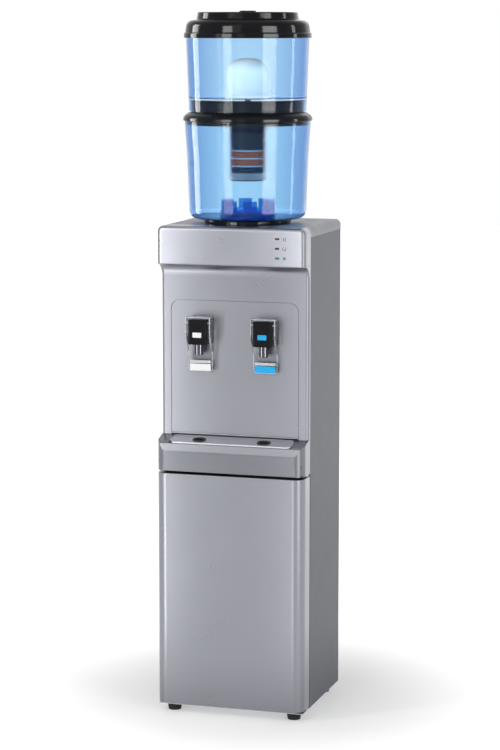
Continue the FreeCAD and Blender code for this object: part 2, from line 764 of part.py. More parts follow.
def dispenser_frame():
    """The front panel between fascia and shelf, with its cove, rounded posts and panel opening."""
    low = shelf_edge + d.shelfRise + d.fitGap
    high = fascia_bottom - d.fitGap
    lip = fascia_front + d.coveLip
    post_x, post_y = half - d.postRadius, panel_front + d.postRadius

    plate = body("frame_plate")
    pad(plate, "XY", low, high - low, outline(
        (-half, mould_rear), (-half, panel_front, d.postRadius),
        (half, panel_front, d.postRadius), (half, mould_rear)))
    pad(plate, "YZ", -post_x, post_x * 2, frame_cove(panel_front, lip))
    corners = []
    for index, x in enumerate((-post_x, post_x)):
        corners.append(body(f"frame_corner_{index}", x, post_y))
        spin(corners[-1], frame_cove(d.postRadius, d.postRadius + panel_front - lip))
    plan = body("frame_plan")
    corner = d.fasciaCorner - d.coveLip
    pad(plan, "XY", low - 1, high - low + 2, outline(
        (-half, mould_rear), (-half, lip, corner), (half, lip, corner), (half, mould_rear)))
    for name in ("frame_plate", "frame_corner_0", "frame_corner_1", "frame_plan"):
        del NODES[name]
    outer = common("frame_outer", fuse("frame_sum", plate, *corners), plan)

    wall = d.mouldWall
    hollow = block("frame_hollow", wall - half, panel_front + wall, low - 1,
                   half - wall, mould_rear + 1, high - wall * 2)
    opening = body("frame_opening")
    wide = d.panelWidth / 2
    pad(opening, "XZ", fascia_front, mould_rear - fascia_front, outline(
        (-wide, low - 1), (-wide, panel_top, d.panelCorner),
        (wide, panel_top, d.panelCorner), (wide, low - 1)))
    del NODES["frame_opening"]
    keep(cut("frame_cut", outer, hollow, opening), "dispenser_frame")


def splash_panel():
    """The inset panel that carries the taps: a plate, a flange behind the frame and a rolled foot."""
    made = body("splash_panel")
    low = shelf_edge + d.shelfRise + 1.5
    face = panel_front + 0.6
    flange = panel_front + d.mouldWall + d.fitGap
    wide = d.panelWidth / 2 - d.panelGroove
    high = panel_top - d.panelGroove
    corner = d.panelCorner - d.panelGroove
    margin = d.panelFlange
    pad(made, "XZ", face, flange - face, outline(
        (-wide, low), (-wide, high, corner), (wide, high, corner), (wide, low)))
    pad(made, "XZ", flange, 2, outline(
        (-wide - margin, low), (-wide - margin, high + margin, corner + margin),
        (wide + margin, high + margin, corner + margin), (wide + margin, low)))
    roll = d.panelRoll
    pad(made, "YZ", -wide, wide * 2, circle(face, low + roll, roll))
    holes = [circle(d.tapOffsetX * side, tap_axis_z, d.spigotRadius + d.fitGap) for side in (-1, 1)]
    pocket(made, "XZ", face - 1, flange + 4 - face, *holes)


def shelf_profile():
    """Side view of the shelf: chin, crease, slanted facet, lip, flat and rear rise."""
    flat_front = front + d.trayFront + d.fitGap
    flat_rear = front + d.trayRear
    return outline(
        (mould_rear, shelf_bottom), (front + 1, shelf_bottom, 1.5), (front, crease, 9),
        (front + d.chinSlant, shelf_edge, 2.5), (flat_front + 2, tray_z - 0.5),
        (flat_rear, tray_z + d.traySlope - 0.5, 2), (panel_front, shelf_edge + d.shelfRise),
        (mould_rear, shelf_edge + d.shelfRise))


def drip_shelf():
    """The projecting shelf with rounded corners, an open underside and a well for the tray."""
    side_view = body("shelf_side_view")
    pad(side_view, "YZ", -half, half * 2, shelf_profile())
    plan = body("shelf_plan")
    pad(plan, "XY", shelf_bottom - 1, shelf_edge + d.shelfRise + 2 - shelf_bottom, outline(
        (-half, mould_rear), (-half, front, d.frontCorner),
        (half, front, d.frontCorner), (half, mould_rear)))
    del NODES["shelf_side_view"], NODES["shelf_plan"]
    outer = common("shelf_outer", side_view, plan)
    well = block("shelf_well", -well_half, well_front, well_floor, well_half, well_rear, well_floor + 80)
    wall = d.mouldWall
    under = block("shelf_underside", wall - half, front + wall * 2, shelf_bottom - 1,
                  half - wall, mould_rear + 1, well_floor - wall)
    ends = [block(f"shelf_end_{index}", low, front + wall * 8, shelf_bottom - 1,
                  high, mould_rear + 1, shelf_edge - wall)
            for index, (low, high) in enumerate((
                (wall - half, -well_half - wall), (well_half + wall, half - wall)))]
    keep(cut("shelf_cut", outer, well, under, *ends), "drip_shelf")


tray_z = shelf_edge + 4
well_half = d.trayWidth / 2
well_front = front + d.trayFront
well_rear = front + d.trayRear + 1.5
well_floor = tray_z - d.traySheet - d.cupDepth
tap_axis_z = d.tapTop - d.tapHeight / 2


def drip_tray_plate():
    """The lift-out cover of the tray: sloped to the front, with a rear lip, round corners and two drains."""
    side_view = body("tray_side_view")
    near, far = well_front + d.fitGap, well_rear - d.fitGap
    wide = well_half - d.fitGap
    rise = tray_z + d.traySlope
    sheet_wall = d.traySheet
    pad(side_view, "YZ", -wide, wide * 2, outline(
        (near, tray_z, 1), (far - 3, rise, 3), (far - 0.5, rise + d.trayLip, 0.8),
        (far, rise + d.trayLip - 1), (far, rise - sheet_wall), (near, tray_z - sheet_wall)))
    holes = [drain_slot(d.tapOffsetX * side, drain_y, ZERO) for side in (-1, 1)]
    pocket(side_view, "XY", tray_z - 10, 40, *holes)
    plan = body("tray_plan")
    pad(plan, "XY", tray_z - 10, 40, rectangle(-wide, near, wide, far, d.trayCorner))
    del NODES["tray_side_view"], NODES["tray_plan"]
    keep(common("tray_cut", side_view, plan), "drip_tray_plate")


def drain_slot(x, y, extra):
    wide, deep = d.drainWidth / 2 + extra, d.drainDepth / 2 + extra
    return rectangle(x - wide, y - deep, x + wide, y + deep, deep - 0.2)


drain_y = front + d.drainSetback


def drip_cup():
    """The collecting cup that hangs under the tray's cover."""
    made = body("drip_cup")
    gap = d.fitGap * 2
    x, near, far = well_half - gap, well_front + gap, well_rear - gap
    low, high = well_floor + d.fitGap, tray_z - d.traySheet - 0.1
    pad(made, "XY", low, high - low, rectangle(-x, near, x, far, 6))
    wall = d.cupWall
    pocket(made, "XY", low + wall, high - low, rectangle(
        wall - x, near + wall, x - wall, far - wall, 4))


def drain_ring(name, side):
    """A flanged sleeve that lines one drain slot, square to the sloped tray."""
    run = d.trayRear - d.trayFront - 3
    rise = (drain_y - well_front) / run * d.traySlope
    made = body(name, d.tapOffsetX * side, drain_y, tray_z + rise)
    made.Placement.Rotation = FreeCAD.Rotation(FreeCAD.Vector(1, 0, 0), 1)
    made.setExpression("Placement.Rotation.Angle", f"atan({(d.traySlope / run).text})")
    bore = drain_slot(ZERO, ZERO, as_size(-2))
    pad(made, "XY", 0.15, 0.8, drain_slot(ZERO, ZERO, d.drainRingWidth), bore)
    pad(made, "XY", -3.5, 4, drain_slot(ZERO, ZERO, as_size(-1.1)), bore)
    return made


# ---- taps ----

def tap_body(name, x):
    """The black block with its spigot, hose tail, pin hole and nozzle socket."""
    made = body(name)
    low = d.tapTop - d.tapHeight
    wide = d.tapWidth / 2
    rear = panel_front + 0.3
    pad(made, "XY", low, d.tapHeight, outline(
        (x - wide, rear), (x - wide, tap_face, d.tapCorner),
        (x + wide, tap_face, d.tapCorner), (x + wide, rear)))

    def face_edge(edge):
        return abs(edge.CenterOfMass.y - tap_face.value) < 0.01 and edge.BoundBox.ZLength < 1

    round_edges(made, 1.2, face_edge)
    tail = panel_front + d.spigotLength
    pad(made, "XZ", panel_front, d.spigotLength, circle(x, tap_axis_z, d.spigotRadius))
    pad(made, "XZ", tail, d.tailLength, circle(x, tap_axis_z, d.hoseRadius))
    pocket(made, "YZ", x - wide - 1, wide * 2 + 2, circle(pin_y, pin_z, d.pinRadius + d.hingeRunning))
    pocket(made, "XY", low - 1, 8, circle(x, nozzle_y, d.nozzleRadius - 1.5))


def tap_nut(name, x):
    made = body(name)
    behind = panel_front + d.mouldWall + d.fitGap + 2.1
    pad(made, "XZ", behind, d.nutWall, circle(x, tap_axis_z, d.nutRadius),
        circle(x, tap_axis_z, d.spigotRadius + 0.1))
    return made


def tap_nozzle(name, x):
    """The bright outlet, plugged into the block."""
    made = body(name, x, nozzle_y)
    low = d.tapTop - d.tapHeight
    neck = d.nozzleRadius - 1.6
    spin(made, outline(
        (d.nozzleBore, low - d.nozzleLength, 0.5), (d.nozzleRadius, low - d.nozzleLength, 0.8),
        (d.nozzleRadius, low - 0.1), (neck, low - 0.1), (neck, low + 6), (d.nozzleBore, low + 6)))
    return made


def tap_lever(name, x):
    """The clear push lever: a bar over the block, two arms beside it and a paddle below."""
    made = body(name)
    low = d.tapTop - d.tapHeight
    outer, inner = d.leverWidth / 2, d.leverWidth / 2 - d.leverArm
    bar_front, bar_rear = tap_face + 5, panel_front - 7
    pad(made, "YZ", x - outer, d.leverWidth, outline(
        (bar_front, d.leverTop, 2.5), (bar_rear, d.leverTop, 2), (bar_rear, tap_axis_z, 6),
        (paddle_rear, low - 8), (paddle_rear, d.leverBottom, 1), (paddle_front, d.leverBottom, 1),
        (paddle_front, low - 16, 4), (bar_front, low + 22, 6)))
    hollow = outline(
        (tap_face - 1, d.tapTop + 1), (panel_front, d.tapTop + 1), (panel_front, low - 1.5),
        (tap_face - 1, low - 1.5))
    pocket(made, "YZ", x - inner, inner * 2, hollow)
    pocket(made, "YZ", x - inner, inner * 2, rectangle(
        tap_face - 1, d.leverBottom - 1, paddle_front, low))
    pocket(made, "YZ", x - inner, inner * 2, rectangle(
        paddle_rear, d.leverBottom - 1, panel_front, low))
    pocket(made, "YZ", x - outer - 1, d.leverWidth + 2, circle(pin_y, pin_z, d.pinRadius + d.hingeRunning))
    pad(made, "YZ", x - d.leverTab / 2, d.leverTab, outline(
        (bar_front + 1, d.leverTop - 1), (bar_front + 3, d.leverTop + d.leverTabRise, 0.8),
        (bar_front + 9, d.leverTop + d.leverTabRise, 0.8), (bar_front + 11, d.leverTop - 1)))


def tap_pin(name, x):
    made = body(name)
    reach = d.leverWidth / 2 - 0.2
    pad(made, "YZ", x - reach, reach * 2, circle(pin_y, pin_z, d.pinRadius))
    return made


def tap_band(name, x):
    """The coloured strip at the foot of the paddle."""
    made = body(name)
    reach = d.leverWidth / 2 - d.leverArm - 0.3
    low = d.leverBottom + 2
    pad(made, "XZ", paddle_front - d.bandWall - 0.1, d.bandWall, rectangle(
        x - reach, low, x + reach, low + d.bandHeight, 1))


def tap_label(name, x):
    """The coloured plate on the block."""
    made = body(name)
    middle = d.tapTop - d.labelDrop - d.labelHeight / 2
    wide, tall = d.labelWidth / 2, d.labelHeight / 2
    pad(made, "XZ", tap_face - 0.9, 0.8, rectangle(
        x - wide, middle - tall, x + wide, middle + tall, 1))


tap_face = panel_front - d.tapReach
nozzle_y = tap_face + d.nozzleSetback
pin_y = tap_face + d.pinSetback
pin_z = d.tapTop - d.pinDrop
paddle_front = nozzle_y + d.nozzleRadius + 1
paddle_rear = paddle_front + d.leverPaddle


def taps():
    left, right = -d.tapOffsetX, d.tapOffsetX
    for side, x in (("left", left), ("right", right)):
        tap_body(f"tap_body_{side}", x)
        tap_lever(f"tap_lever_{side}", x)
        tap_band(f"tap_band_{side}", x)
        tap_label(f"tap_label_{side}", x)
    for make in (tap_nut, tap_nozzle, tap_pin):
        name = make.__name__
        group(f"{name}s", [make(f"{name}_left", left), make(f"{name}_right", right)])


# ---- door and cupboard ----

def door_skin():
    """The door's outer shell with its rounded corners, end walls and hinge bosses."""
    made = body("door_skin")
    wall = d.mouldWall
    inner = d.frontCorner - wall
    shape = outline(
        (-half, door_rear), (-half, front, d.frontCorner),
        (half, front, d.frontCorner), (half, door_rear))
    pad(made, "XY", door_bottom, d.doorTop - door_bottom, shape)

    def rim(edge):
        middle = edge.CenterOfMass
        at_end = min(abs(middle.z - door_bottom.value), abs(middle.z - d.doorTop.value)) < 0.01
        return at_end and middle.y < door_rear.value - 0.1

    round_edges(made, d.doorEdge, rim)
    pocket(made, "XY", door_bottom + wall, d.doorTop - door_bottom - wall * 2, outline(
        (wall - half, door_rear + 1), (wall - half, front + wall, inner),
        (half - wall, front + wall, inner), (half - wall, door_rear + 1)))
    depth = wall + d.hingePinReach
    for low in (door_bottom, d.doorTop - depth):
        pad(made, "XY", low, depth, circle(hinge_x, hinge_y, d.hingeBoss))
    for low in (door_bottom - 1, d.doorTop - depth - 1):
        pocket(made, "XY", low, depth + 2, circle(hinge_x, hinge_y, d.hingePinRadius + d.hingeRunning))


def door_liner():
    """The inner panel that closes the door, notched at the hinge bosses, with a stiffening rib."""
    made = body("door_liner")
    wall = d.linerSheet
    gap = d.mouldWall + d.fitGap
    wide = half - gap
    low, high = door_bottom + gap, d.doorTop - gap
    rear = door_rear - 0.5
    notch_x = hinge_x - d.hingeBoss - d.fitGap
    notch = d.mouldWall + d.hingePinReach + d.fitGap
    pad(made, "XZ", rear - wall, wall, outline(
        (-wide, low, 3), (notch_x, low), (notch_x, door_bottom + notch), (wide, door_bottom + notch),
        (wide, d.doorTop - notch), (notch_x, d.doorTop - notch), (notch_x, high), (-wide, high, 3)))
    start = front + gap
    rib, inside = d.linerRib, d.linerRib + wall
    pad(made, "XZ", start, rear - wall - start, rectangle(
        rib - half, door_bottom + rib, half - rib, d.doorTop - rib, 8), rectangle(
        inside - half, door_bottom + inside, half - inside, d.doorTop - inside, 6))


def door_gasket():
    """A soft ring between the door's inner panel and the cupboard's front flange."""
    made = body("door_gasket")
    wide = lining_half + d.liningLip
    low, high = door_bottom + d.mouldWall + 1, d.doorTop - d.mouldWall - 1
    rear = seam - d.liningFront - d.fitGap
    start = door_rear - 0.5
    band = d.gasketWidth
    pad(made, "XZ", start, rear - start, rectangle(-wide, low, wide, high, 8),
        rectangle(band - wide, low + band, wide - band, high - band, 3))


def hinge_pins():
    """The lower pin stands on the base; the upper one hangs from a bracket on the side panel."""
    made = body("hinge_pin_lower", hinge_x, hinge_y)
    pin = d.hingePinRadius
    reach = door_bottom + d.mouldWall + d.hingePinReach
    washer = d.doorLift - d.fitGap * 2
    spin(made, outline(
        (0, base_top), (pin * 2, base_top), (pin * 2, base_top + washer), (pin, base_top + washer),
        (pin, reach - 1, 0.4), (pin - 1, reach), (0, reach)))
    made = body("hinge_bracket_upper")
    low = d.doorTop + 1.2
    arm = 2.0
    tab_rear = seam - 0.1
    inner = half - d.flangeWidth
    pad(made, "XY", low, arm, outline(
        (inner, tab_rear), (inner, hinge_y + 2, 2), (hinge_x - 6, hinge_y - 5, 3),
        (half - 2, hinge_y - 5, 3), (half - 2, tab_rear)))
    pad(made, "XY", low, 30, rectangle(inner, tab_rear - arm, half - d.mouldWall - 1.5, tab_rear))
    depth = d.mouldWall + d.hingePinReach
    pad(made, "XY", d.doorTop - depth + 1, low - d.doorTop + depth - 1, circle(hinge_x, hinge_y, pin))


def cupboard_lining():
    """The stepped inner box of the cupboard with its front flange."""
    made = body("cupboard_lining")
    wall = d.liningWall
    wide = lining_half
    z0, z1 = base_top + d.liningFloor, d.doorTop - d.liningTopDrop
    step = z0 + d.liningStepHeight
    deep = side_rear - d.liningRearGap
    shallow = comp_y - d.compressorDepth / 2 - d.liningStepGap
    pad(made, "YZ", -wide, wide * 2, outline(
        (seam, z0), (shallow, z0), (shallow, step), (deep, step), (deep, z1), (seam, z1),
        (seam, z1 - wall), (deep - wall, z1 - wall), (deep - wall, step + wall),
        (shallow - wall, step + wall), (shallow - wall, z0 + wall), (seam, z0 + wall)))
    for x in (-wide, wide - wall):
        pad(made, "YZ", x, wall, outline(
            (seam, z0), (shallow, z0), (shallow, step), (deep, step), (deep, z1), (seam, z1)))
    lip = d.liningLip
    pad(made, "XZ", seam - d.liningFront, d.liningFront, rectangle(
        -wide - lip, z0 - lip, wide + lip, z1 + lip), rectangle(
        wall - wide, z0 + wall, wide - wall, z1 - wall))


# ---- cooling ----

def tank_deck():
    """The sheet that carries the cold tank, with turned-down sides."""
    made = body("tank_deck")
    near = seam + d.sheetWall + d.fitGap
    far = side_rear - d.sheetWall - d.fitGap
    low = d.deckTop - d.baseSheet
    inner = inner_half - d.baseSheet
    pad(made, "XY", low, d.baseSheet, rectangle(-inner_half, near, inner_half, far))
    for x in (-inner_half, inner):
        pad(made, "XY", low - d.baseFlange, d.baseFlange, rectangle(x, near, x + d.baseSheet, far))
    pocket(made, "XY", low - 1, d.baseSheet + 2, circle(-line_x, suction_y, d.lineRadius + 1.5))


line_x = d.condenserWidth / 2 - 68
suction_y = side_rear - d.seamSetback / 5
hose_y = panel_front + 43
tank_low = d.deckTop + d.foamFloor
tank_high = tank_low + d.tankHeight
baffle = tank_low + d.tankHeight * 0.6
hose_bend = d.hoseRadius + 9
feed_top = top - d.throatDepth - d.seatWall - d.fitGap
feed_low = tank_high - 8


def hose(name, side, high):
    """A soft tube from a tap's tail to the tank, above or below the tank's baffle."""
    x, near = d.tapOffsetX * side, panel_front + d.spigotLength + d.fitGap
    inlet = d.tapOffsetX * 0.3 * side
    spots = ((x, near, tap_axis_z), (x, hose_y, tap_axis_z), (x, hose_y, high),
             (inlet, hose_y, high), (inlet, tank_y - d.tankRadius * 0.9, high))
    keep(pipe(f"{name}_tube", d.hoseRadius + d.hoseWall, hose_bend, *spots,
              bore=d.hoseRadius + d.fitGap), name)


cold_hose_z = tank_low + 20
ambient_hose_z = tank_high - 20


def hose_holes(made, y_from, length, gap):
    """Two holes through the front of the tank or its foam, one for each hose."""
    radius = d.hoseRadius + d.hoseWall + gap
    inlet = d.tapOffsetX * 0.3
    pocket(made, "XZ", y_from, length,
           circle(inlet, cold_hose_z, radius), circle(-inlet, ambient_hose_z, radius))


def cold_tank():
    """A drawn steel tank with a baffle between the room-warm and the cooled water."""
    made = body("cold_tank", ZERO, tank_y)
    wall, radius = d.tankWall, d.tankRadius
    inner = radius - wall
    spin(made, outline(
        (0, tank_low), (radius, tank_low, 6), (radius, tank_high, 6), (0, tank_high),
        (0, tank_high - wall), (inner, tank_high - wall, 5), (inner, baffle + wall),
        (radius / 4, baffle + wall), (radius / 4, baffle), (inner, baffle),
        (inner, tank_low + wall, 5), (0, tank_low + wall)))
    hose_holes(made, -radius, radius, d.fitGap)
    pocket(made, "XY", tank_high - wall * 2, wall * 3,
           circle(0, bottle_y - tank_y, d.feedRadius + d.fitGap))


def tank_foam():
    """The foam jacket round the tank."""
    made = body("tank_foam", ZERO, tank_y)
    gap = d.fitGap
    radius = d.tankRadius + gap
    outer = radius + d.foamWall
    low, high = d.deckTop + gap, tank_high + d.foamFloor
    spin(made, outline(
        (0, low), (outer, low, 3), (outer, high, 10), (0, high), (0, tank_high + gap),
        (radius, tank_high + gap, 6), (radius, tank_low - gap, 6), (0, tank_low - gap)))
    hose_holes(made, -outer - 1, outer, gap)
    pocket(made, "XY", tank_high, d.foamFloor * 2, circle(0, bottle_y - tank_y, d.feedRadius + gap))
    back = outer * 0.6
    pocket(made, "XZ", back, outer, circle(-line_x, suction_z, d.lineRadius + gap),
           circle(line_x, liquid_z, d.condenserTube + gap))


suction_z = tank_low + 10
liquid_z = tank_low + 30
tube_y = d.rearReach - d.condenserWire * 2 - d.condenserTube


def feed_tube():
    """The tube from the bottle seat down into the tank."""
    made = body("feed_tube", ZERO, bottle_y)
    bore = d.feedRadius - d.feedWall
    pad(made, "XY", feed_low, feed_top - feed_low, circle(0, 0, d.feedRadius), circle(0, 0, bore))


comp_y = side_rear - d.compressorInset
comp_low = base_top + d.compressorLift


def mount_spots():
    x, y = d.compressorLength / 2 - 4, d.compressorDepth / 2 - 8
    return [(x * i, comp_y + y * j) for i in (-1, 1) for j in (-1, 1)]


def compressor():
    """A hermetic can with its weld seam, terminal cover and foot plate."""
    made = body("compressor")
    x, y = d.compressorLength / 2 - 14, d.compressorDepth / 2
    plate = d.compressorPlate
    pad(made, "XY", comp_low, plate, rectangle(
        -x - 20, comp_y - y + 1, x + 20, comp_y + y - 1, 9))
    can = rectangle(-x, comp_y - y, x, comp_y + y, d.compressorRound)
    low, high = comp_low + plate, comp_low + d.compressorHeight
    pad(made, "XY", low, high - low, can)
    round_edges(made, d.compressorRound * 0.7, lambda edge: edge.BoundBox.ZMin > high.value - 0.01)
    middle = low + (high - low) / 2
    seam_step = 2.5
    pad(made, "XY", middle, seam_step, rectangle(
        -x - seam_step, comp_y - y - seam_step, x + seam_step, comp_y + y + seam_step,
        d.compressorRound + seam_step))
    pad(made, "YZ", x - 4, 22, rectangle(comp_y - 24, low + 18, comp_y + 24, low + 50, 4))
    holes = [circle(*spot, d.compressorStud + d.fitGap) for spot in mount_spots()]
    pocket(made, "XY", comp_low - 1, plate + 2, *holes)


def compressor_mounts():
    """Four rubber spools, each with a stud up through the foot plate."""
    made = []
    for index, spot in enumerate(mount_spots()):
        made.append(body(f"mount_{index}", *spot))
        stud, lift = d.compressorStud, comp_low - d.fitGap
        spin(made[-1], outline(
            (0, base_top), (9, base_top), (9, base_top + 4), (7, base_top + 6), (7, lift - 4),
            (8.5, lift - 2), (8.5, lift), (stud, lift),
            (stud, comp_low + d.compressorPlate + 2), (0, comp_low + d.compressorPlate + 2)))
    group("compressor_mounts", made)


def suction_line():
    """The copper tube from the compressor up to the tank's evaporator."""
    inlet = comp_y + d.compressorDepth / 2 + 0.4
    port = comp_low + d.suctionPort
    foam_end = tank_y + d.tankRadius * 0.86
    keep(pipe("suction_tube", d.lineRadius, d.lineRadius * 2.4, (-line_x, inlet, port),
              (-line_x, suction_y, port), (-line_x, suction_y, suction_z),
              (-line_x, foam_end, suction_z)), "suction_line")


def condenser():
    """A serpentine tube that starts at the compressor and ends in the tank's foam."""
    side = d.condenserWidth / 2
    low = d.condenserBottom
    inlet = comp_y + d.compressorDepth / 2 + 0.4
    port = comp_low + d.dischargePort
    spots = [(line_x, inlet, port), (line_x, tube_y, port), (line_x, tube_y, low)]
    for turn in range(CONDENSER_PASSES):
        end = -side if turn % 2 == 0 else side
        height = low + d.condenserPitch * turn
        spots += [(end, tube_y, height), (end, tube_y, height + d.condenserPitch)]
    last = low + d.condenserPitch * CONDENSER_PASSES
    spots += [(line_x, tube_y, last), (line_x, tube_y, liquid_z),
              (line_x, tank_y + d.tankRadius * 0.86, liquid_z)]
    keep(pipe("condenser_tube", d.condenserTube, d.condenserPitch * 0.3, *spots), "condenser")


CONDENSER_PASSES = 5
CONDENSER_WIRES = 14


def condenser_wires():
    """Upright wires on the rear of the serpentine."""
    side = d.condenserWidth / 2 - 14
    low = d.condenserBottom - d.wireOverhang
    length = d.condenserPitch * CONDENSER_PASSES + d.wireOverhang * 2
    wires = []
    for index in range(CONDENSER_WIRES):
        x = -side + side * 2 * (index / (CONDENSER_WIRES - 1))
        wires.append(rod(f"wire_{index}", "Z", x, tube_y + d.condenserTube + d.condenserWire,
                         low, d.condenserWire, length))
    group("condenser_wires", wires)


def screw_spots(*sides):
    """The rear sheet's screws as (x, z), three on each side."""
    x = half - d.flangeWidth / 2 - 1.5
    span = cover_bottom - panel_low
    return [(x * side, panel_low + span * part) for side in sides for part in (0.04, 0.5, 0.92)]


panel_low = base_top + d.liningFloor + d.liningStepHeight + 20
panel_rear = side_rear + 0.1


def back_panel():
    """The rear sheet with ventilation slots, condenser brackets and tube holes."""
    made = body("back_panel")
    wide, high = half - 2, cover_bottom - 1
    pad(made, "XZ", panel_rear, d.sheetWall, rectangle(-wide, panel_low, wide, high, 4))
    slot_x, slot_z = d.ventWidth / 2, high - d.ventDrop
    row = pocket(made, "XZ", panel_rear - 1, d.sheetWall + 2, rectangle(
        -slot_x, slot_z, slot_x, slot_z + d.ventHeight, 2.4))
    repeat_along(made, row, "Z_Axis", d.ventPitch, 5)
    holes = [circle(x, z, d.screwShank + 0.2) for x, z in screw_spots(-1, 1)]
    holes += [circle(line_x, liquid_z, d.condenserTube + 1.5),
              circle(gland_x, gland_z, d.glandRadius + d.fitGap)]
    pocket(made, "XZ", panel_rear - 1, d.sheetWall + 2, *holes)
    start = panel_rear + d.sheetWall
    reach = tube_y - d.condenserTube - d.fitGap - start
    for z in (d.condenserBottom, d.condenserBottom + d.condenserPitch * (CONDENSER_PASSES - 1)):
        for x in (-d.bracketOffset, d.bracketOffset):
            pad(made, "XZ", start, reach, rectangle(x - 5, z - 1, x + 5, z + 1))
            pad(made, "XZ", start, d.sheetWall, rectangle(x - 9, z - 7, x + 9, z + 7, 2))


gland_x = half - d.glandInset
gland_z = panel_low + d.glandRise


def cord_gland():
    """The bush through which a mains lead would leave the back."""
    made = body("cord_gland")
    radius = d.glandRadius
    pad(made, "XZ", panel_rear + d.sheetWall + 0.1, 5, circle(gland_x, gland_z, radius + 3))
    pad(made, "XZ", panel_rear - 6, 10, circle(gland_x, gland_z, radius))
    pocket(made, "XZ", panel_rear - 7, 20, circle(gland_x, gland_z, radius - 3))


def case_screws():
    """Six pan-head screws through the rear sheet."""
    made = []
    for index, (x, z) in enumerate(screw_spots(-1, 1)):
        made.append(body(f"screw_{index}"))
        outside = panel_rear + d.sheetWall
        pad(made[-1], "XZ", outside + 0.1, 2, circle(x, z, d.screwHead))
        pad(made[-1], "XZ", outside - 8, 9, circle(x, z, d.screwShank))
        pocket(made[-1], "XZ", outside + 1, 3, rectangle(x - 2.4, z - 0.5, x + 2.4, z + 0.5))
    group("case_screws", made)


# ---- filter bottle ----

def bottle_body(name):
    """A turned piece of the bottle; its heights count from the top cover."""
    return body(name, ZERO, bottle_y, top)


def lower_tank():
    """The clear lower tank with its neck."""
    made = bottle_body("lower_tank")
    skin, base = d.tankSkin, d.lowerBase
    bulge_z = base + (d.lowerTop - base) * 0.6
    bulge = d.lowerBaseRadius + (d.lowerTopRadius - d.lowerBaseRadius) * 0.43
    bore = d.neckRadius - d.neckWall
    spin(made, outline(
        (bore, base - d.neckDepth), (d.neckRadius, base - d.neckDepth, 1), (d.neckRadius, base, 2),
        (d.lowerBaseRadius, base, d.lowerRound), (bulge, bulge_z),
        (d.lowerTopRadius, d.lowerTop), (d.lowerTopRadius - skin, d.lowerTop),
        (bulge - skin, bulge_z),
        (d.lowerBaseRadius - skin, base + skin, d.lowerRound - skin), (bore, base + skin)))


def outlet_guard():
    """The notched ring that stands over the outlet on the tank's floor."""
    made = bottle_body("outlet_guard")
    low = d.lowerBase + d.tankSkin + 0.1
    high = low + d.guardHeight
    step = low + d.guardHeight * 0.42
    outer, inner = d.guardRadius, d.guardRadius - d.guardWall
    spin(made, outline(
        (inner, low), (outer + 1.6, low), (outer + 1.6, step), (outer, step), (outer, high),
        (inner, high)))
    notch = pocket(made, "XY", step + 2, d.guardHeight, rectangle(
        0, -d.guardGap / 2, outer + 5, d.guardGap / 2))
    repeat_round(made, notch, 8)


def lower_tank_cover():
    """The black cover of the lower tank: a wide ring, a raised deck and the cartridge's hole."""
    made = bottle_body("lower_tank_cover")
    skin = d.tankSkin
    low = d.lowerTop + d.fitGap * 3
    lip = d.lowerTopRadius - skin - d.fitGap * 3
    hole = d.cartridgeRadius + d.cartridgeGap
    deck = d.deckHeight
    raised = d.coverRadius
    rim = d.rimRadius
    spin(made, outline(
        (lip - skin, d.lowerTop - 7), (lip, d.lowerTop - 7), (lip, low), (rim, low, 1),
        (rim, low + 6, 2), (rim - 3.2, low + 11, 2), (raised + 5, low + 16.6, 4), (raised, low + 17.6, 1),
        (raised, deck, 3), (hole, deck), (hole, deck - skin), (raised - skin, deck - skin, 1),
        (raised - skin, low + 15), (lip - skin, low + 7)))


def upper_tank():
    """The clear upper tank: a floor, a tapered wall and a skirt over the lower cover."""
    made = bottle_body("upper_tank")
    skin = d.tankSkin
    floor = d.deckHeight + d.fitGap
    low, high = d.upperSkirtRadius, d.upperTopRadius
    slope = (high - low) / (d.upperTop - d.upperSkirt)
    at_floor = low + (floor - d.upperSkirt) * slope
    spin(made, outline(
        (d.stemRadius + d.fitGap, floor), (at_floor - skin, floor), (low - skin, d.upperSkirt),
        (low, d.upperSkirt), (high, d.upperTop, 0.8), (high - skin, d.upperTop, 0.8),
        (at_floor - skin + 0.2, floor + skin, 3), (d.stemRadius + d.fitGap, floor + skin)))


def bottle_lid():
    """The black lid: a rim round the tank, a domed shoulder and a dished disc with its hub."""
    made = bottle_body("bottle_lid")
    wall = d.lidWall
    disc = d.lidDiscRadius
    inside = d.upperTopRadius + d.fitGap * 2
    seat = d.upperTop + d.fitGap
    shoulder = d.lidShoulder
    spin(made, outline(
        (inside, d.lidRimBottom), (d.lidRimRadius, d.lidRimBottom, 1), (d.lidRimRadius, d.lidRimTop, 2),
        (d.lidRimRadius - 2.5, d.lidRimTop + 1, 1), (d.lidRimRadius - 6, shoulder - 4, 14),
        (disc + 2.5, shoulder, 2), (disc, d.lidTop, 2.5), (disc - 8, d.lidTop, 2.5),
        (disc - 12, d.lidTop - 5, 3), (d.lidHub + 3, d.lidTop - 3, 2), (d.lidHub, d.lidTop + 3, 2),
        (0, d.lidTop + 3), (0, d.lidTop - 3 - wall), (disc - 12, d.lidTop - 5 - wall),
        (disc - wall, shoulder - wall, 4), (d.lidRimRadius - 12, shoulder - 4 - wall, 9),
        (d.upperTopRadius - 4, seat), (inside, seat)))


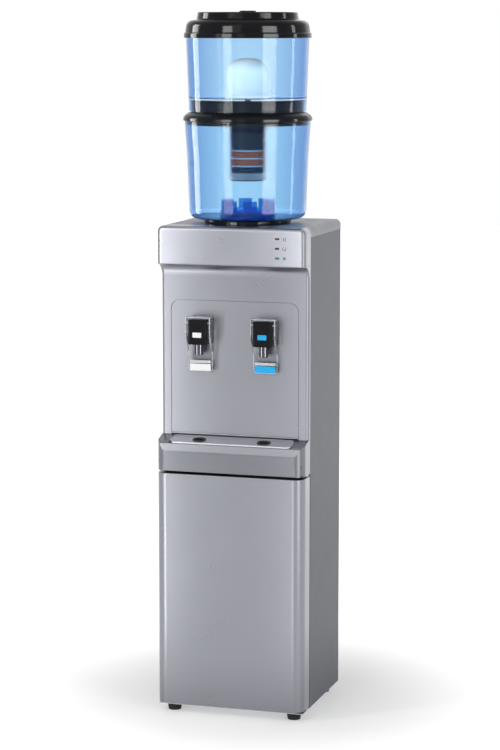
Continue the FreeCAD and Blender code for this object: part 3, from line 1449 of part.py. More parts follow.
def ceramic_filter():
    """The hollow ceramic dome on its moulded base, whose stem passes the tank's floor."""
    made = bottle_body("ceramic_dome")
    base = d.deckHeight + d.fitGap + d.tankSkin + 0.1
    low = base + d.domeBaseHeight
    high = low + d.domeHeight
    radius = d.domeRadius
    shell = radius - d.domeWall
    spin(made, outline(
        (shell, low + 0.1), (radius, low + 0.1), (radius, high, 32), (0, high),
        (0, high - d.domeWall), (shell, high - d.domeWall, 25)))
    made = bottle_body("ceramic_base")
    end = d.deckHeight - 8
    spin(made, outline(
        (d.stemRadius - 2.5, end), (d.stemRadius, end), (d.stemRadius, base), (radius + 2, base),
        (radius + 2, low - 1.5, 1), (radius - 1, low), (d.stemRadius - 2.5, low)))


def cartridge():
    """The filter cartridge under the upper tank: cap, clear sleeve, layers, pads and mesh foot."""
    radius, skin = d.cartridgeRadius, d.cartridgeSkin
    made = bottle_body("cartridge_cap")
    high = d.deckHeight - 0.1
    low = d.cartridgeCapBottom
    socket = d.stemRadius + d.fitGap
    spin(made, outline(
        (0, low), (radius, low, 0.6), (radius, high - 6, 1), (radius - 5, high, 1), (socket, high),
        (socket, high - 12), (0, high - 12)))
    made = bottle_body("cartridge_sleeve")
    foot = d.meshTop
    pad(made, "XY", foot + 0.1, low - foot - 0.2, circle(0, 0, radius), circle(0, 0, radius - skin))

    inner = radius - skin - 0.2
    pad_tops = [d.mediaTop - d.mediaPitch * index for index in range(3)]

    def disc(name, bottom, upper):
        made = bottle_body(name)
        pad(made, "XY", bottom + 0.1, upper - bottom - 0.2, circle(0, 0, inner))
        return made

    group("carbon_layers", [disc("carbon_upper", d.mediaTop, low),
                            disc("carbon_lower", foot, pad_tops[2] - d.padHeight)])
    group("mineral_layers", [disc(f"mineral_{i}", pad_tops[i + 1], pad_tops[i] - d.padHeight)
                             for i in range(2)])
    group("separator_pads", [disc(f"separator_{i}", high_z - d.padHeight, high_z)
                             for i, high_z in enumerate(pad_tops)])

    made = bottle_body("cartridge_mesh")
    floor = d.meshBottom
    spin(made, outline(
        (0, floor), (radius - 1, floor, 2), (radius, foot), (radius - skin, foot),
        (radius - skin - 1, floor + skin), (0, floor + skin)))


def build():
    for side_name, side in (("left", -1), ("right", 1)):
        side_panel(f"{side_name}_side_panel", side)
    base_plate()
    group("feet", [foot(name, x, y) for name, x, y in foot_axes()])
    top_cover()
    bottle_seat()
    fascia()
    group("indicator_lenses", [indicator(f"indicator_{number}", number) for number in (0, 1)])
    indicator("indicator_lens_lit", 2)
    indicator_board()
    dispenser_frame()
    splash_panel()
    drip_shelf()
    drip_tray_plate()
    drip_cup()
    group("drain_rings", [drain_ring(f"drain_ring_{side}", side) for side in (-1, 1)])
    taps()
    door_skin()
    door_liner()
    door_gasket()
    hinge_pins()
    cupboard_lining()
    tank_deck()
    cold_tank()
    tank_foam()
    feed_tube()
    hose("ambient_hose", -1, ambient_hose_z)
    hose("cold_hose", 1, cold_hose_z)
    compressor()
    compressor_mounts()
    suction_line()
    condenser()
    condenser_wires()
    back_panel()
    cord_gland()
    case_screws()
    lower_tank()
    outlet_guard()
    lower_tank_cover()
    upper_tank()
    bottle_lid()
    ceramic_filter()
    cartridge()


def write_parts():
    """Write one STEP file per node, once every object and shape has passed."""
    doc.recompute()
    broken = [thing.Name for thing in doc.Objects if {"Invalid", "Error"} & set(thing.State)]
    if broken:
        raise RuntimeError(f"failed objects: {broken}")
    for name, thing in NODES.items():
        if thing.Shape.isNull() or not thing.Shape.isValid() or not thing.Shape.Solids:
            raise RuntimeError(f"bad shape: {name}")
    os.makedirs("parts", exist_ok=True)
    for name, thing in NODES.items():
        thing.Shape.exportStep(f"parts/{name}.step")
        box = thing.Shape.BoundBox
        low = f"{box.XMin:7.1f} {box.YMin:7.1f} {box.ZMin:7.1f}"
        high = f"{box.XMax:7.1f} {box.YMax:7.1f} {box.ZMax:7.1f}"
        print(f"{name:22s} {len(thing.Shape.Solids):2d} solids {thing.Shape.Volume:9.0f} mm3  {low}  {high}")


build()
write_parts()
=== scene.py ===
import math

import bmesh
import bpy
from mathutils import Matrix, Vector


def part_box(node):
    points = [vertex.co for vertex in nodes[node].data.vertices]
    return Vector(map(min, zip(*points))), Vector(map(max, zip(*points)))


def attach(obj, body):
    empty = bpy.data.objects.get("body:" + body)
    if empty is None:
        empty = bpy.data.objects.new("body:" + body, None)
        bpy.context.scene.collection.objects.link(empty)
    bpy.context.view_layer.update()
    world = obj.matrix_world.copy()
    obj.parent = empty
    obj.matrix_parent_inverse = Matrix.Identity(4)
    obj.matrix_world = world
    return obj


# The looks of a water cooler with a two-stage filter bottle. Metres, +Z up, the front faces -Y.

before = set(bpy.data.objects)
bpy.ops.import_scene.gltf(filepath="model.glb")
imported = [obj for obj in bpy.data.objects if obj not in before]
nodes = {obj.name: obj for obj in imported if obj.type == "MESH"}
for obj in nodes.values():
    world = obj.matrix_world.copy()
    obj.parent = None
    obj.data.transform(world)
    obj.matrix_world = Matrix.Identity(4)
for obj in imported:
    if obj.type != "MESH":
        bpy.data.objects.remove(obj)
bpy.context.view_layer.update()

BOTTLE_Y = -0.023       # the bottle stands a little in front of the cabinet's middle


# ---- camera ----

def make_camera():
    """The photograph's camera: 500 x 750, portrait, level across and tipped down."""
    yaw, pitch = 0.30035, 0.14233
    data = bpy.data.cameras.new("camera")
    data.sensor_width = 36.0
    data.lens = 117.28
    data.clip_end = 40.0
    camera = bpy.data.objects.new("camera", data)
    camera.location = (1.46972, -4.75284, 1.39765)
    camera.rotation_euler = (math.pi / 2 - pitch, 0.0, yaw)
    bpy.context.scene.collection.objects.link(camera)
    bpy.context.scene.camera = camera


# ---- shader helpers ----

class Shader:
    """A material under construction: one Principled surface and the nodes that feed it."""

    def __init__(self, name, **sockets):
        self.material = bpy.data.materials.new(name)
        self.material.use_nodes = True
        self.tree = self.material.node_tree
        self.surface = self.tree.nodes["Principled BSDF"]
        for socket, value in sockets.items():
            self.surface.inputs[socket.replace("_", " ")].default_value = value
        self.place = self.add("ShaderNodeTexCoord").outputs["Object"]

    def add(self, kind, **settings):
        node = self.tree.nodes.new(kind)
        for key, value in settings.items():
            setattr(node, key, value)
        return node

    def link(self, source, target):
        self.tree.links.new(source, target)

    def noise(self, scale, detail=3.0, stretch=(1, 1, 1)):
        mapping = self.add("ShaderNodeMapping")
        mapping.inputs["Scale"].default_value = stretch
        self.link(self.place, mapping.inputs["Vector"])
        node = self.add("ShaderNodeTexNoise")
        node.inputs["Scale"].default_value = scale
        node.inputs["Detail"].default_value = detail
        self.link(mapping.outputs["Vector"], node.inputs["Vector"])
        return node.outputs["Fac"]

    def cells(self, scale, output="Distance"):
        node = self.add("ShaderNodeTexVoronoi")
        node.inputs["Scale"].default_value = scale
        self.link(self.place, node.inputs["Vector"])
        return node.outputs[output]

    def mix(self, factor, low, high):
        node = self.add("ShaderNodeMix", data_type="RGBA")
        self.link(factor, node.inputs["Factor"])
        for socket, value in ((node.inputs[6], low), (node.inputs[7], high)):
            if isinstance(value, bpy.types.NodeSocket):
                self.link(value, socket)
            else:
                socket.default_value = (*value, 1.0)
        return node.outputs[2]

    def between(self, factor, low, high, start=0.3, end=0.7):
        node = self.add("ShaderNodeMapRange")
        for socket, value in (("From Min", start), ("From Max", end), ("To Min", low), ("To Max", high)):
            node.inputs[socket].default_value = value
        self.link(factor, node.inputs["Value"])
        return node.outputs["Result"]

    def color(self, output):
        self.link(output, self.surface.inputs["Base Color"])

    def rough(self, output):
        self.link(output, self.surface.inputs["Roughness"])

    def bump(self, height, strength, distance):
        node = self.add("ShaderNodeBump")
        node.inputs["Strength"].default_value = strength
        node.inputs["Distance"].default_value = distance
        self.link(height, node.inputs["Height"])
        self.link(node.outputs["Normal"], self.surface.inputs["Normal"])


def tone(color, factor):
    return tuple(channel * factor for channel in color)


def moulded(name, color, rough=(0.35, 0.5), grain=900, depth=0.08, spread=0.06, **sockets):
    """Moulded plastic or paint: faint cloudy colour, uneven gloss and a fine grain."""
    shader = Shader(name, **sockets)
    cloud = shader.noise(9, 4)
    shader.color(shader.mix(cloud, tone(color, 1 - spread), tone(color, 1 + spread)))
    shader.rough(shader.between(shader.noise(35, 3), *rough))
    shader.bump(shader.noise(grain, 2), depth, 0.0004)
    return shader.material


def silver(name, color, rough):
    """Satin silver paint over plastic: an even metallic tone under a thin clear coat. Gives the shader."""
    shader = Shader(name, Metallic=0.8, Coat_Weight=0.2, Coat_Roughness=0.2)
    shader.color(shader.mix(shader.noise(6, 3), tone(color, 0.98), tone(color, 1.02)))
    shader.rough(shader.between(shader.noise(12, 2), rough, rough + 0.04))
    return shader


def metal(name, color, rough, stretch=(1, 1, 1), scale=300, depth=0.1):
    """Bare metal with a directional polish."""
    shader = Shader(name, Metallic=1.0)
    lines = shader.noise(scale, 4, stretch)
    shader.color(shader.mix(lines, tone(color, 0.9), color))
    shader.rough(shader.between(lines, rough * 0.8, rough * 1.3))
    shader.bump(lines, depth, 0.0003)
    return shader.material


def clear(name, color, edge, rough=0.03, ior=1.45):
    """Clear plastic, deeper in colour where it is seen edge on."""
    shader = Shader(name, Transmission_Weight=1.0, IOR=ior)
    facing = shader.add("ShaderNodeLayerWeight")
    facing.inputs["Blend"].default_value = 0.35
    shader.color(shader.mix(facing.outputs["Facing"], color, edge))
    shader.rough(shader.between(shader.noise(30, 2), rough * 0.7, rough * 1.3))
    shader.bump(shader.noise(22, 2), 0.04, 0.001)
    return shader.material


def gloss_black(name):
    """Polished black plastic with a slight waviness."""
    shader = Shader(name, IOR=1.18)
    shader.color(shader.mix(shader.noise(20, 3), (0.006, 0.006, 0.008), (0.012, 0.012, 0.015)))
    shader.rough(shader.between(shader.noise(60, 3), 0.06, 0.12))
    shader.bump(shader.noise(30, 2), 0.03, 0.001)
    return shader.material


def granules(name, dark, light, size, rough=(0.6, 0.9)):
    """Packed grains of a given size, each with its own tone."""
    shader = Shader(name)
    scale = 1.0 / size
    shader.color(shader.mix(shader.between(shader.cells(scale, "Color"), 0.0, 1.0, 0.1, 0.9), dark, light))
    shader.rough(shader.between(shader.cells(scale), *rough))
    shader.bump(shader.cells(scale), 0.9, size * 0.5)
    return shader.material


def patterned_tray(name, color):
    """Silver paint over an embossed pattern of short diagonal strokes."""
    shader = silver(name, color, 0.34)
    shader.bump(shader.noise(260, 2, (0.35, 1.0, 1.0)), 0.7, 0.0018)
    return shader.material


def make_materials():
    grey = (0.07, 0.076, 0.1)
    look = {
        "silver": silver("silver_paint", (0.235, 0.24, 0.268), 0.27).material,
        # The drip shelf takes the same silver paint as the front, darker: painted shade.
        "silver_painted_shade": silver("silver_painted_shade", (0.165, 0.17, 0.19), 0.27).material,
        "tray": patterned_tray("silver_tray", (0.48, 0.485, 0.52)),
        "grey_paint": moulded("grey_paint", grey, (0.45, 0.47), 1400, 0.04, 0.01),
        "grey_plastic": moulded("grey_plastic", (0.27, 0.275, 0.3), (0.4, 0.5), 1100, 0.1, 0.03,
                                Metallic=0.3),
        "gloss_black": gloss_black("gloss_black"),
        "dark_plastic": moulded("dark_plastic", (0.02, 0.02, 0.023), (0.45, 0.6)),
        "white_plastic": moulded("white_plastic", (0.85, 0.86, 0.87), (0.35, 0.45), 1200, 0.04, 0.02),
        "cyan_plastic": moulded("cyan_plastic", (0.0, 0.42, 0.85), (0.3, 0.4), 1200, 0.04, 0.05),
        "clear": clear("clear_plastic", (0.96, 0.97, 0.98), (0.84, 0.87, 0.9), 0.06, ior=1.2),
        # Near-white bars on the clear levers' outlines and over their bands: painted highlights.
        "lever_highlight": moulded("painted_highlight_edge", (0.82, 0.83, 0.85), (0.25, 0.35), 900, 0.03, 0.02,
                         Transmission_Weight=0.3),
        "nozzle": metal("nozzle_chrome", (0.05, 0.05, 0.053), 0.12, scale=80, depth=0.02),
        "blue_clear": clear("blue_clear", (0.62, 0.805, 0.955), (0.008, 0.2, 0.62), ior=1.17),
        "blue_lower": clear("blue_lower", (0.56, 0.785, 0.955), (0.003, 0.155, 0.56), ior=1.17),
        "sleeve": clear("sleeve_clear", (0.64, 0.79, 0.94), (0.12, 0.38, 0.76), ior=1.08),
        "blue_deep": clear("blue_deep", (0.03, 0.27, 0.66), (0.008, 0.1, 0.34), 0.05, ior=1.3),
        "steel": metal("brushed_steel", (0.55, 0.55, 0.56), 0.3, (1, 1, 12)),
        "zinc": metal("zinc_sheet", (0.5, 0.51, 0.53), 0.42, (1, 1, 1), 60, 0.05),
        "rubber": moulded("black_rubber", (0.015, 0.015, 0.016), (0.75, 0.9), 700, 0.25),
        "seal": moulded("grey_seal", (0.45, 0.45, 0.46), (0.7, 0.8), 700, 0.2),
        "foam": moulded("foam", (0.76, 0.68, 0.48), (0.85, 0.95), 260, 0.7, 0.12),
        "silicone": moulded("silicone", (0.75, 0.77, 0.77), (0.4, 0.5), 500, 0.05, 0.03,
                            Subsurface_Weight=0.2),
        "black_paint": moulded("black_enamel", (0.012, 0.012, 0.013), (0.3, 0.45), 500, 0.15),
        "copper": metal("copper", (0.78, 0.4, 0.26), 0.25, scale=120, depth=0.08),
        "ceramic": moulded("ceramic", (0.92, 0.9, 0.86), (0.55, 0.7), 1500, 0.15, 0.02,
                           Subsurface_Weight=0.1),
        "navy": moulded("navy_plastic", (0.003, 0.008, 0.026), (0.12, 0.2), 600, 0.03, 0.1, IOR=1.2),
        "carbon": granules("carbon_grains", (0.004, 0.004, 0.006), (0.03, 0.03, 0.035), 0.0016, (0.3, 0.7)),
        "mineral": granules("mineral_grains", (0.2, 0.03, 0.01), (0.62, 0.15, 0.06), 0.0019),
        "felt": moulded("felt", (0.6, 0.62, 0.66), (0.85, 0.95), 900, 0.6, 0.1),
        "mesh_core": moulded("mesh_core", (0.02, 0.022, 0.03), (0.5, 0.6)),
        "mesh": moulded("moulded_mesh", (0.6, 0.61, 0.64), (0.5, 0.6), 900, 0.1),
        "board": moulded("circuit_board", (0.02, 0.13, 0.05), (0.3, 0.45), 300, 0.2, 0.15),
        "lens_dark": moulded("lens_dark", (0.03, 0.03, 0.035), (0.15, 0.25), 900, 0.02),
        "lens_lit": moulded("lens_lit", (0.01, 0.12, 0.06), (0.2, 0.3), 900, 0.02,
                            Emission_Color=(0.05, 1.0, 0.4, 1.0), Emission_Strength=0.04),
        "icon": moulded("icon_print", (0.03, 0.03, 0.035), (0.4, 0.5), 900, 0.02),
        "lining": moulded("lining_plastic", (0.72, 0.73, 0.74), (0.35, 0.45), 900, 0.06, 0.02),
    }
    return look


NODE_LOOKS = {
    "grey_paint": ["left_side_panel", "right_side_panel"],
    "zinc": ["base_plate", "hinge_bracket_upper", "tank_deck", "back_panel"],
    "rubber": ["feet", "compressor_mounts"],
    "grey_plastic": ["top_cover"],
    "gloss_black": ["bottle_seat", "tap_body_left", "tap_body_right", "bottle_lid", "lower_tank_cover"],
    "silver": ["fascia", "dispenser_frame", "splash_panel", "door_skin"],
    "silver_painted_shade": ["drip_shelf"],
    "tray": ["drip_tray_plate"],
    "lens_dark": ["indicator_lenses"],
    "lens_lit": ["indicator_lens_lit"],
    "board": ["indicator_board"],
    "dark_plastic": ["drip_cup", "drain_rings", "tap_nuts", "cord_gland"],
    "nozzle": ["tap_nozzles"],
    "clear": ["tap_lever_left", "tap_lever_right"],
    "white_plastic": ["tap_band_left", "tap_label_left", "ceramic_base"],
    "cyan_plastic": ["tap_band_right", "tap_label_right"],
    "steel": ["tap_pins", "hinge_pin_lower", "cold_tank", "case_screws"],
    "lining": ["door_liner", "cupboard_lining"],
    "seal": ["door_gasket"],
    "foam": ["tank_foam"],
    "silicone": ["feed_tube", "ambient_hose", "cold_hose"],
    "black_paint": ["compressor", "condenser", "condenser_wires"],
    "copper": ["suction_line"],
    "blue_clear": ["upper_tank"],
    "blue_lower": ["lower_tank"],
    "sleeve": ["cartridge_sleeve"],
    "blue_deep": ["outlet_guard"],
    "ceramic": ["ceramic_dome"],
    "navy": ["cartridge_cap"],
    "carbon": ["carbon_layers"],
    "mineral": ["mineral_layers"],
    "felt": ["separator_pads"],
    "mesh_core": ["cartridge_mesh"],
}


def dress(piece, material):
    if not piece.material_slots:
        piece.data.materials.append(material)
    for slot in piece.material_slots:
        slot.material = material


def dress_nodes(look):
    for key, names in NODE_LOOKS.items():
        for name in names:
            dress(nodes[name], look[key])


# ---- studio ----

def area_light(name, place, aim, size, power, color=(1, 1, 1)):
    data = bpy.data.lights.new(name, "AREA")
    data.shape = "RECTANGLE"
    data.size, data.size_y = size
    data.energy = power
    data.color = color
    lamp = bpy.data.objects.new(name, data)
    lamp.location = place
    lamp.rotation_euler = (Vector(aim) - Vector(place)).to_track_quat("-Z", "Y").to_euler()
    bpy.context.scene.collection.objects.link(lamp)
    return lamp


def collection_of(name, members):
    """Pieces that a linked lamp is meant for."""
    made = bpy.data.collections.new(name)
    for member in members:
        made.objects.link(nodes[member])
    return made


def tall_light(name, azimuth, distance, middle, size, power, receivers=None):
    """A tall soft box round the object; azimuth runs from -Y towards +X. Receivers see it in reflections."""
    turn = math.radians(azimuth)
    place = (math.sin(turn) * distance, BOTTLE_Y - math.cos(turn) * distance, middle)
    lamp = area_light(name, place, (0, BOTTLE_Y, middle), size, power)
    lamp.visible_camera = False
    lamp.visible_transmission = False
    if receivers:
        lamp.visible_diffuse = False
        lamp.light_linking.receiver_collection = receivers
    return lamp


def front_strip(name, x, middle, width, height, power):
    """A narrow upright light in front of the panels, which mirror it as a soft bright band."""
    depth = -0.70
    lamp = area_light(name, (x, depth, middle), (x, 0, middle), (width, height), power)
    lamp.visible_camera = False
    lamp.visible_transmission = False
    return lamp


# The clear walls don't hold back the light of the lamps that are meant for what is inside them.
FILTER_PIECES = ("ceramic_dome", "ceramic_base", "cartridge_cap", "carbon_layers", "mineral_layers",
                 "separator_pads", "cartridge_mesh")
GLOSSY_PIECES = ("bottle_lid", "lower_tank_cover", "upper_tank", "lower_tank", "bottle_seat", "cartridge_cap",
                 "cartridge_sleeve", "ceramic_dome")


def make_lamps():
    glossy = collection_of("glossy_pieces", GLOSSY_PIECES)
    tall_light("strip_back_left", -94, 1.6, 1.22, (0.5, 1.6), 48, glossy)
    tall_light("strip_left", -20, 2.0, 1.22, (0.62, 1.6), 84, glossy)
    tall_light("strip_right", 58, 1.8, 1.22, (0.85, 1.6), 115, glossy)
    tall_light("strip_back_right", 109, 1.6, 1.22, (0.2, 1.6), 16, glossy)
    for index, (x, power) in enumerate(((-0.60, 0.4), (-0.45, 4.2), (0.07, 1.4))):
        front_strip(f"near_{index}", x, 0.72, 0.13, 1.6, power)
    fascia = collection_of("fascia_piece", ("fascia",))
    for name, x, power in (("fascia_left", -0.47, 5.4), ("fascia_right", 0.05, 1.9)):
        lamp = front_strip(name, x, 0.95, 0.12, 0.9, power)
        lamp.visible_diffuse = False
        lamp.light_linking.receiver_collection = fascia
    nozzles = collection_of("nozzle_piece", ("tap_nozzles",))
    for name, azimuth in (("nozzle_left", -38), ("nozzle_right", 52)):
        lamp = tall_light(name, azimuth, 1.2, 0.75, (0.16, 0.7), 14, nozzles)
        lamp.light_linking.blocker_collection = nozzles
    filter_pieces = collection_of("filter_pieces", FILTER_PIECES)
    warm = (1.0, 0.86, 0.79)        # makes up for the blue walls, so that the dome stays white
    for name, x in (("filter_left", -1.1), ("filter_right", 1.1)):
        lamp = area_light(name, (x, -1.6, 1.7), (0, BOTTLE_Y, 1.25), (0.8, 0.8), 20, warm)
        lamp.visible_camera = lamp.visible_glossy = lamp.visible_transmission = False
        lamp.light_linking.receiver_collection = filter_pieces
        lamp.light_linking.blocker_collection = filter_pieces
    tall_light("far_right", 55, 2.2, 1.0, (0.8, 2.4), 16)
    tall_light("side_right", 105, 2.5, 0.9, (1.0, 2.2), 2.5)
    tall_light("rear_right", 160, 2.5, 0.9, (1.0, 2.2), 4)
    area_light("top_soft", (0.2, -0.4, 3.0), (0, 0, 0.6), (1.8, 1.8), 4)
    area_light("front_soft", (-0.5, -2.6, 2.6), (0, 0, 0.7), (1.6, 1.2), 12)
    area_light("rear_top", (0.0, 2.6, 2.2), (0, 0, 1.0), (1.8, 0.8), 3)


def math_node(tree, operation, first, second):
    node = tree.nodes.new("ShaderNodeMath")
    node.operation = operation
    for socket, value in zip(node.inputs, (first, second)):
        if isinstance(value, bpy.types.NodeSocket):
            tree.links.new(value, socket)
        else:
            socket.default_value = value
    return node.outputs[0]


def backdrop_level(tree, dim):
    """The backdrop's level: 1 where it is seen, mirrored or seen through, and dim as a light."""
    path = tree.nodes.new("ShaderNodeLightPath")
    level = dim
    for ray in ("Is Camera Ray", "Is Glossy Ray", "Is Transmission Ray"):
        level = math_node(tree, "MAXIMUM", path.outputs[ray], level)
    return level


def make_world():
    world = bpy.data.worlds.new("studio")
    world.use_nodes = True
    bpy.context.scene.world = world
    background = world.node_tree.nodes["Background"]
    background.inputs["Color"].default_value = (1, 1, 1, 1)
    world.node_tree.links.new(backdrop_level(world.node_tree, 0.12), background.inputs["Strength"])


def make_floor():
    """A pale floor that is as bright as the backdrop far off, with painted shade: its glow is dimmed close to
    the object.
    """
    mesh = bpy.data.meshes.new("floor")
    reach = 12.0
    mesh.from_pydata([(-reach, -reach, 0), (reach, -reach, 0), (reach, reach, 0), (-reach, reach, 0)],
                     [], [(0, 1, 2, 3)])
    floor = bpy.data.objects.new("floor", mesh)
    bpy.context.scene.collection.objects.link(floor)
    material = bpy.data.materials.new("floor")
    material.use_nodes = True
    tree = material.node_tree
    surface = tree.nodes["Principled BSDF"]
    surface.inputs["Roughness"].default_value = 0.6
    surface.inputs["Specular IOR Level"].default_value = 0.2
    surface.inputs["Base Color"].default_value = (0.8, 0.8, 0.8, 1)
    surface.inputs["Emission Color"].default_value = (1, 1, 1, 1)
    distance = tree.nodes.new("ShaderNodeVectorMath")
    distance.operation = "LENGTH"
    tree.links.new(tree.nodes.new("ShaderNodeTexCoord").outputs["Object"], distance.inputs[0])
    # Painted shade: the floor's glow falls to about a third close to the object and rises to full by 0.8 m
    # off.
    spread = tree.nodes.new("ShaderNodeMapRange")
    spread.interpolation_type = "SMOOTHSTEP"
    tree.links.new(distance.outputs["Value"], spread.inputs["Value"])
    for name, value in (("From Min", 0.16), ("From Max", 0.8), ("To Min", 0.36), ("To Max", 1.0)):
        spread.inputs[name].default_value = value
    glow_with_painted_shade = math_node(tree, "MULTIPLY", backdrop_level(tree, 0.0), spread.outputs["Result"])
    tree.links.new(glow_with_painted_shade, surface.inputs["Emission Strength"])
    floor.data.materials.append(material)


def make_studio():
    bpy.context.scene.view_settings.view_transform = "Standard"
    make_lamps()
    make_world()
    make_floor()


# ---- pieces ----

def add_piece(name, mesh_maker, body, material, smooth=True):
    mesh = bpy.data.meshes.new(name)
    made = bmesh.new()
    mesh_maker(made)
    bmesh.ops.recalc_face_normals(made, faces=made.faces)
    made.to_mesh(mesh)
    made.free()
    if smooth:
        mesh.shade_smooth()
    piece = bpy.data.objects.new(name, mesh)
    bpy.context.scene.collection.objects.link(piece)
    piece.data.materials.append(material)
    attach(piece, body)
    return piece


def prism(made, points, low, high):
    """A closed outline of (x, z) points drawn out along Y from low to high."""
    rings = [[made.verts.new((x, depth, z)) for x, z in points] for depth in (low, high)]
    made.faces.new(rings[0])
    made.faces.new(rings[1][::-1])
    for i in range(len(points)):
        j = (i + 1) % len(points)
        made.faces.new((rings[0][i], rings[1][i], rings[1][j], rings[0][j]))


def skin(made, rings):
    """Closed skin over rings of vertices with equal counts."""
    count = len(rings[0])
    for a, b in zip(rings, rings[1:]):
        for j in range(count):
            made.faces.new((a[j], a[(j + 1) % count], b[(j + 1) % count], b[j]))
    made.faces.new(rings[0][::-1])
    made.faces.new(rings[-1])


def stroke(made, start, end, width, low, high):
    """A flat bar between two (x, z) points."""
    line = Vector((end[0] - start[0], end[1] - start[1]))
    side = Vector((-line.y, line.x)).normalized() * width / 2
    corners = [Vector(start) + side, Vector(start) - side, Vector(end) - side, Vector(end) + side]
    prism(made, [tuple(corner) for corner in corners], low, high)


def arc_band(made, centre, radius, width, first, last, low, high, count=28):
    """Part of a flat ring between two angles in degrees."""
    inner, outer = radius - width / 2, radius + width / 2
    for i in range(count):
        start, end = (math.radians(first + (last - first) * k / count) for k in (i, i + 1))
        prism(made, [(centre[0] + math.cos(a) * r, centre[1] + math.sin(a) * r)
                     for a, r in ((start, inner), (start, outer), (end, outer), (end, inner))], low, high)


def make_icons(look):
    """Three plain signs beside the lamps: two bars, an open ring and a six-armed star."""
    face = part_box("fascia")[0][1]
    low, high = face - 0.00016, face - 0.00001
    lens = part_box("indicator_lenses")
    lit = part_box("indicator_lens_lit")
    inset, beside = 0.0035, 0.009
    x = lens[1][0] + beside
    top, middle, bottom = lens[1][2] - inset, (lens[1][2] + lit[0][2]) / 2, lit[0][2] + inset

    def bars(made):
        spread, half, width = 0.0019, 0.0031, 0.0012
        foot, foot_half, foot_width = top - 0.0036, 0.001, 0.0009
        for at in (x - spread, x + spread):
            stroke(made, (at, top - half), (at, top + half), width, low, high)
            stroke(made, (at - foot_half, foot), (at + foot_half, foot), foot_width, low, high)

    def ring(made):
        radius, width, first, last = 0.0035, 0.0011, 118, 422
        arc_band(made, (x, middle), radius, width, first, last, low, high)

    def star(made):
        arm, width = 0.0034, 0.0012
        for i in range(3):
            turn = math.radians(60 * i)
            across, up = math.cos(turn) * arm, math.sin(turn) * arm
            stroke(made, (x - across, bottom - up), (x + across, bottom + up), width, low, high)

    for name, maker in (("icon_bars", bars), ("icon_ring", ring), ("icon_star", star)):
        add_piece(name, maker, "cabinet", look["icon"], smooth=False)


def make_foot_mesh(look):
    """Two sets of crossing ribs round the cartridge's foot."""
    low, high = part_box("cartridge_mesh")
    middle = ((low[0] + high[0]) / 2, (low[1] + high[1]) / 2)
    radius = (high[0] - low[0]) / 2 + 0.0002
    bottom, top = low[2] + 0.0022, high[2] - 0.0016
    rib, steps, count, twist = 0.00075, 5, 44, 0.42
    section = ((-0.8, -0.6), (0.8, -0.6), (0.5, 0.7), (-0.5, 0.7))

    def ribs(made):
        for hand in (-1, 1):
            for i in range(count):
                start = 2 * math.pi * i / count
                rings = []
                for k in range(steps + 1):
                    share = k / steps
                    turn = start + hand * share * twist
                    out = Vector((math.cos(turn), math.sin(turn), 0))
                    along = Vector((-out.y, out.x, 0))
                    spot = Vector((*middle, bottom + (top - bottom) * share)) + out * radius
                    rings.append([made.verts.new(spot + along * a * rib + out * b * rib) for a, b in section])
                skin(made, rings)

    add_piece("cartridge_foot_ribs", ribs, "upper_bottle", look["mesh"], smooth=False)


def make_condenser_wires(look):
    """More upright wires, in front of and behind the tube."""
    low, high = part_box("condenser_wires")
    radius = (high[1] - low[1]) / 2
    tube_thickness = 0.0048
    rear, front = high[1] - radius, high[1] - radius * 3 - tube_thickness
    count, solid_every, sides = 53, 4, 6
    thin = radius * 0.9
    corners = [(math.cos(2 * math.pi * k / sides) * thin, math.sin(2 * math.pi * k / sides) * thin)
               for k in range(sides)]

    def wires(made):
        for i in range(count):
            x = low[0] + radius + (high[0] - low[0] - radius * 2) * i / (count - 1)
            rows = (front,) if i % solid_every == 0 else (front, rear)
            for y in rows:
                skin(made, [[made.verts.new((x + a, y + b, z)) for a, b in corners]
                            for z in (low[2], high[2])])

    add_piece("condenser_fine_wires", wires, "cabinet", look["black_paint"], smooth=False)


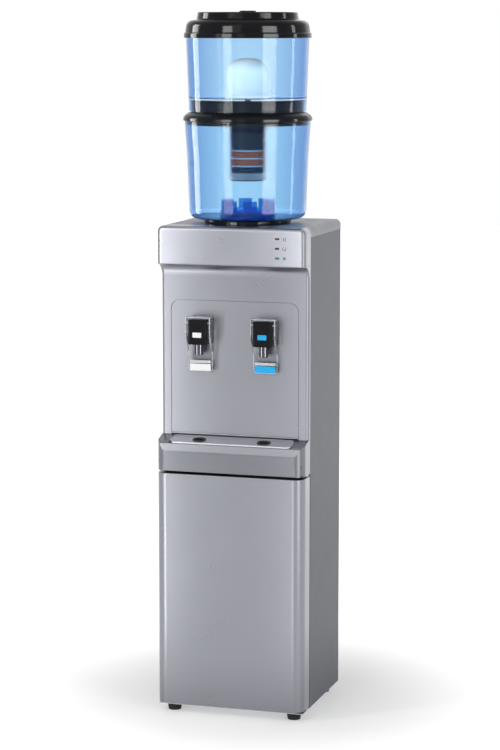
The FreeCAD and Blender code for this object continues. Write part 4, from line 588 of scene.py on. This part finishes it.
def make_lever_highlights(look):
    """Painted highlights on the clear levers: white bars along their outlines, and a white bar over the
    coloured band.
    """
    edge, proud, sunk, bend = 0.0012, 0.00025, 0.00002, 0.005
    for side in ("left", "right"):
        low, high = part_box(f"tap_lever_{side}")
        band_low, band_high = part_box(f"tap_band_{side}")
        paddle = band_high[1] + 0.0001
        shoulder, arm_foot, top = band_low[2] + 0.038, high[2] - 0.034, high[2] - 0.0022
        left, right = low[0] + edge, high[0] - edge

        def outline(made):
            for x in (left, right):
                stroke(made, (x, low[2] + bend), (x, shoulder), edge, paddle - proud, paddle + sunk)
                stroke(made, (x, arm_foot), (x, top), edge, low[1] - proud, low[1] + sunk)
            foot = low[2] + edge
            stroke(made, (left + bend, foot), (right - bend, foot), edge, paddle - proud, paddle + sunk)
            for x, first in ((left + bend, 180), (right - bend, 270)):
                arc_band(made, (x, foot + bend), bend, edge, first, first + 90,
                         paddle - proud, paddle + sunk, count=8)
            stroke(made, (left, top), (right, top), edge, low[1] - proud, low[1] + sunk)

        def highlight_strip(made):
            height, width = band_high[2] + 0.0042, 0.0058
            stroke(made, (band_low[0], height), (band_high[0], height), width, paddle - proud, paddle + sunk)

        # Both pieces are painted highlights on the clear lever.
        for name, maker in (("edge_highlights", outline), ("highlight_strip", highlight_strip)):
            add_piece(f"lever_{name}_{side}", maker, f"lever_{side}", look["lever_highlight"],
                      smooth=False)


def make_shelf_corners(look):
    """The wall of the shelf's two round front corners, where its open underside comes through."""
    low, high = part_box("drip_shelf")
    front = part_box("door_skin")[0][1]
    corner, wall, steps, first, sweep = 0.022, 0.002, 12, 34, 36
    bottom, top = low[2] + 0.0001, low[2] + 0.0255
    outer, inner = corner - 0.00002, corner - wall

    def walls(made):
        for side, x in ((-1, low[0] + corner), (1, high[0] - corner)):
            rings = []
            for step in range(steps + 1):
                turn = math.radians(first + sweep * step / steps)
                across, ahead = side * math.sin(turn), -math.cos(turn)
                rings.append([made.verts.new((x + across * r, front + corner + ahead * r, z))
                              for r, z in ((outer, bottom), (outer, top), (inner, top), (inner, bottom))])
            skin(made, rings)

    add_piece("shelf_corner_walls", walls, "cabinet", look["silver_painted_shade"])


look = make_materials()
make_camera()
dress_nodes(look)
make_icons(look)
make_foot_mesh(look)
make_lever_highlights(look)
make_shelf_corners(look)
make_condenser_wires(look)
make_studio()
